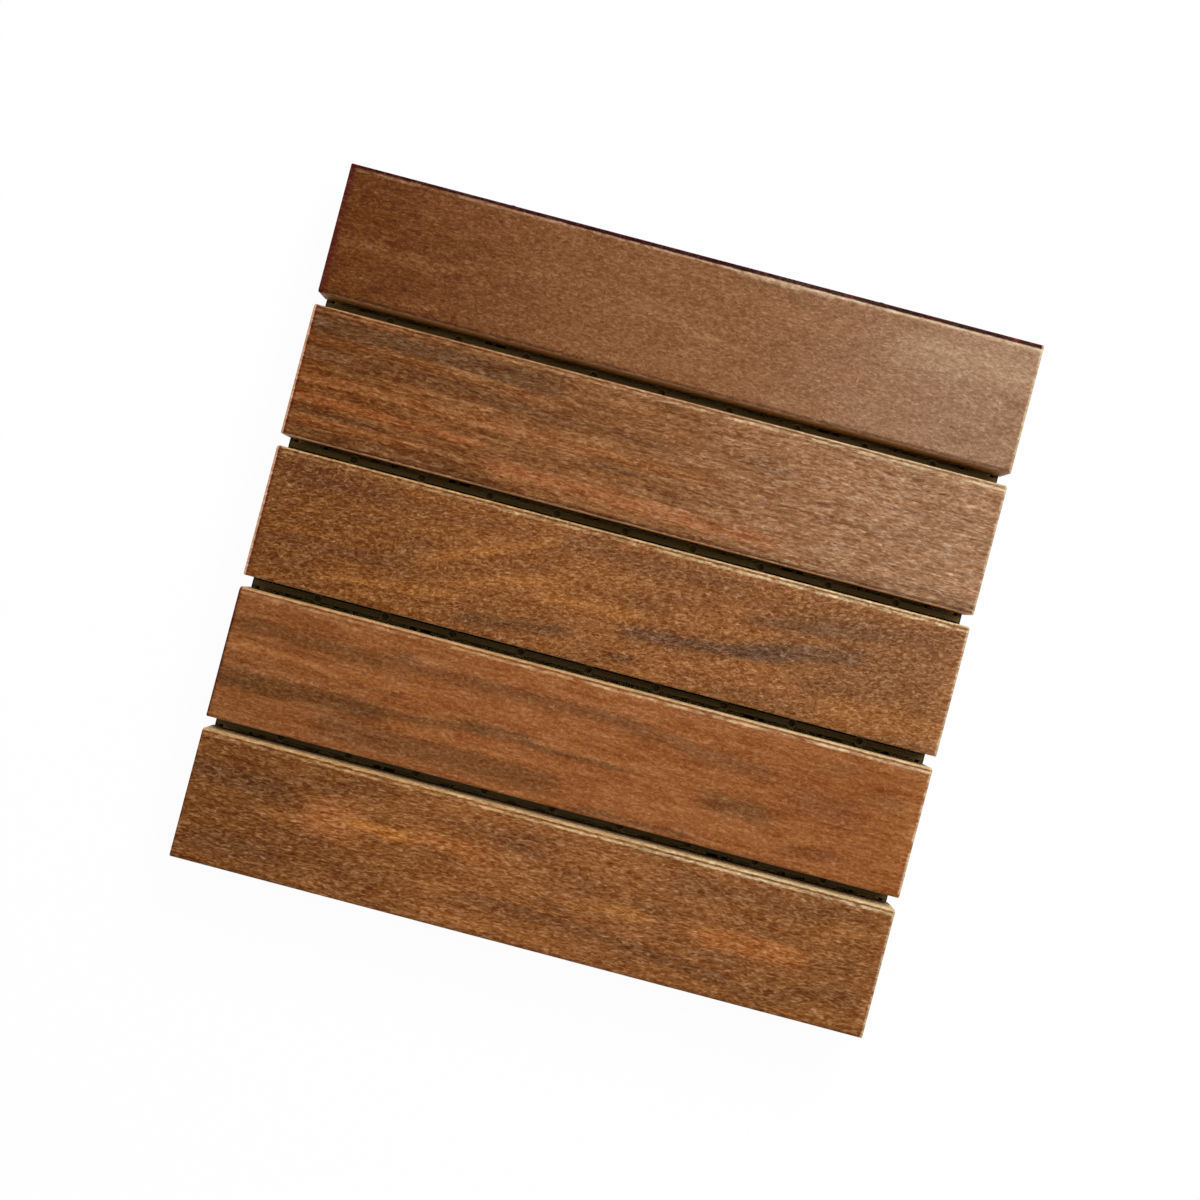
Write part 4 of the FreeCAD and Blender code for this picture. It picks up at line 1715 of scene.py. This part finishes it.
def mottled_wood() -> OiledHardwood:
    """Describe slat 3: curled grain with dark curved patches and golden ones.

    Returns:
        The slat's wood.
    """
    return OiledHardwood(
        left=shade(114, 66, 23),
        middle=shade(130, 79, 36),
        right=shade(127, 81, 42),
        mottle=shade(104, 64, 31),
        warm=shade(153, 96, 44),
        grain=Grain.CURLED,
        arris=Arris(
            back=shade(182, 148, 98),
            painted_shade_line=0.5,
            front=shade(150, 112, 74),
            front_wall=OILED_SIDE,
            left_darkening_mm=1.8,
            left_tip=0.85,
        ),
        figure=(
            Stroke((-152, 20), (-96, 19), 6.0, shade(94, 56, 27), 0.55),
            Stroke((-80, -4), (-26, 19), 2.6, GOLD, 0.35, ragged=1.4),
            Stroke((-66, -10), (-20, 4), 2.4, GOLD, 0.3, ragged=1.4),
            Stroke((-24, 20), (56, 19), 4.6, shade(110, 70, 38), 0.55),
            Stroke((-30, -5), (14, -3), 3.4, GOLD, 0.35, ragged=1.4),
            Stroke((10, -10), (80, -3.5), 3.4, shade(90, 60, 38), 0.75, bow=-1.0),
            Stroke((56, -7), (110, 4), 4.2, shade(92, 64, 44), 0.62, bow=1.0),
            Stroke((62, 8), (118, 15), 3.0, shade(104, 70, 44), 0.6),
            Stroke((90, 13), (150, 19), 5.0, shade(116, 78, 48), 0.5),
            Stroke((-60, -23), (-12, -17), 3.0, shade(86, 55, 29), 0.6),
            Stroke((4, -22), (18, -21), 2.0, UMBER, 0.5),
            Stroke((-140, -10), (-90, -7), 3.6, shade(96, 58, 29), 0.5),
            Stroke((-120, -20), (-60, -14), 2.4, GOLD, 0.35),
            Stroke((20, -18), (90, -16), 3.4, AMBER, 0.45),
            Stroke((96, -20), (156, -17), 6.0, GOLD, 0.3),
            bright_end(shade(152, 100, 58)),
        ),
        mottling=0.45,
        contrast=(0.057, 0.011, 0.005),
        slope=0.12,
        seed=4.7,
    )


def banded_wood() -> OiledHardwood:
    """Describe slat 4: reddish, with dark bands end to end above and below the middle.

    Returns:
        The slat's wood.
    """
    return OiledHardwood(
        left=shade(130, 77, 36),
        middle=shade(141, 83, 40),
        right=shade(135, 78, 33),
        mottle=shade(121, 69, 33),
        warm=shade(153, 95, 48),
        grain=Grain.BANDED,
        arris=Arris(
            back=shade(192, 152, 102),
            painted_shade_line=0.55,
            front=shade(150, 108, 76),
            front_wall=OILED_SIDE,
        ),
        figure=(
            Stroke((-148, 13.2), (-80, 13), 3.8, shade(100, 59, 23), 0.7),
            Stroke((-74, 14), (26, 13.6), 3.4, shade(107, 64, 30), 0.66),
            Stroke((20, 12.6), (86, 7.4), 3.8, shade(111, 67, 33), 0.62),
            Stroke((-156, -9.4), (-78, -8.6), 4.8, shade(94, 57, 23), 0.85),
            Stroke((-84, -8.4), (-36, -4.4), 2.4, shade(100, 60, 24), 0.7),
            Stroke((-46, -3.8), (-14, -3.6), 3.2, shade(90, 56, 23), 0.62),
            Stroke((-18, -5.6), (28, -5.8), 1.4, shade(98, 59, 25), 0.65, ragged=0.7),
            Stroke((60, -8.4), (90, -8.8), 4.8, shade(94, 57, 23), 0.68),
            Stroke((-106, -19.5), (0, -19), 6.2, shade(105, 64, 31), 0.72),
            Stroke((8, -25.4), (58, -25.2), 1.2, UMBER, 0.6, ragged=0.5),
            Stroke((-81, 17), (-71, 17), 3.4, shade(103, 61, 30), 0.6),
            Stroke((-77, 9), (-73, 9), 2.4, shade(109, 65, 31), 0.5),
            Stroke((-78, 1), (-73, 1), 1.8, shade(98, 57, 23), 0.65),
            Stroke((-150, 4.4), (-60, 3.4), 1.6, shade(159, 97, 48), 0.5),
            Stroke((-70, -13), (0, -12), 2.0, shade(159, 99, 50), 0.4),
            Stroke((96, -20), (124, -19), 3.0, shade(111, 63, 31), 0.5),
            Stroke((94, 2), (126, 0), 6.0, shade(118, 67, 30), 0.65),
            Stroke((128, 9), (146, 10), 3.4, shade(115, 71, 35), 0.5),
            Stroke((104, 16), (120, 20), 3.0, shade(121, 75, 37), 0.45),
            bright_end(shade(158, 96, 46)),
        ),
        mottling=0.28,
        contrast=(0.033, 0.017, 0.016),
        seed=6.1,
    )


def flecked_wood() -> OiledHardwood:
    """Describe slat 5: short flecks, with bright patches along the middle.

    Returns:
        The slat's wood.
    """
    return OiledHardwood(
        left=shade(114, 67, 25),
        middle=shade(131, 80, 38),
        right=shade(125, 77, 35),
        mottle=shade(101, 63, 31),
        warm=shade(147, 91, 42),
        grain=Grain.FLECKED,
        arris=Arris(
            back=shade(190, 152, 100),
            painted_shade_line=0.15,
            front=shade(104, 66, 36),
            front_wall=OILED_SIDE,
            front_painted_shade=0.2,
            left_darkening_mm=0.4,
        ),
        figure=(
            Stroke((-100, 4), (-76, 5), 9.0, shade(158, 96, 50), 0.7),
            Stroke((-80, 5.5), (-54, 4), 3.0, shade(175, 110, 48), 0.75),
            Stroke((-54, 6.5), (-20, 5), 4.0, shade(153, 89, 40), 0.65),
            Stroke((28, -1.5), (50, -2), 3.2, shade(167, 106, 46), 0.55),
            Stroke((-10, -2), (24, -4), 2.4, shade(153, 94, 44), 0.4),
            Stroke((72, -3), (118, -2), 5.5, shade(157, 92, 42), 0.7),
            Stroke((-152, 12), (-104, 10), 5.0, shade(97, 61, 31), 0.6),
            Stroke((-30, -13), (90, -20), 3.0, shade(99, 61, 31), 0.55, bow=2.0),
            Stroke((-16, 13), (4, 12), 2.6, UMBER, 0.45),
            Stroke((-150, -18), (-100, -16), 6.0, shade(103, 63, 31), 0.6),
            Stroke((60, 18), (130, 20), 4.0, shade(113, 71, 36), 0.4),
            Stroke((-44, -22), (20, -23), 3.0, shade(149, 91, 42), 0.5),
            bright_end(shade(144, 88, 42)),
        ),
        mottling=0.5,
        contrast=(0.055, 0.015, 0.010),
        slope=0.03,
        seed=8.3,
    )


def lay_out_slats() -> list[Slat]:
    """Lay out the five slats, of which the outermost sides have no gap to grow into.

    Returns:
        The slats, from the +Y edge to the -Y edge.
    """
    woods = (quiet_wood(), streaked_wood(), mottled_wood(), banded_wood(), flecked_wood())
    slats = [Slat(f"slat_{number}", wood) for number, wood in enumerate(woods, start=1)]
    slats[0].back_growth_mm = 0.0
    slats[0].back_easing_mm = 0.7
    slats[-1].front_growth_mm = 0.0
    return slats


def main() -> None:
    """Build the tile piece by piece, then the studio around it."""
    logging.basicConfig(level=logging.INFO, format="%(name)s %(message)s")
    bpy.context.scene.view_settings.view_transform = "Standard"
    for slat in lay_out_slats():
        slat.build()
    BaseGrid().build()
    DrainCollars().build()
    SlatScrews().build()
    Studio().build()


if __name__ == "__main__":
    main()
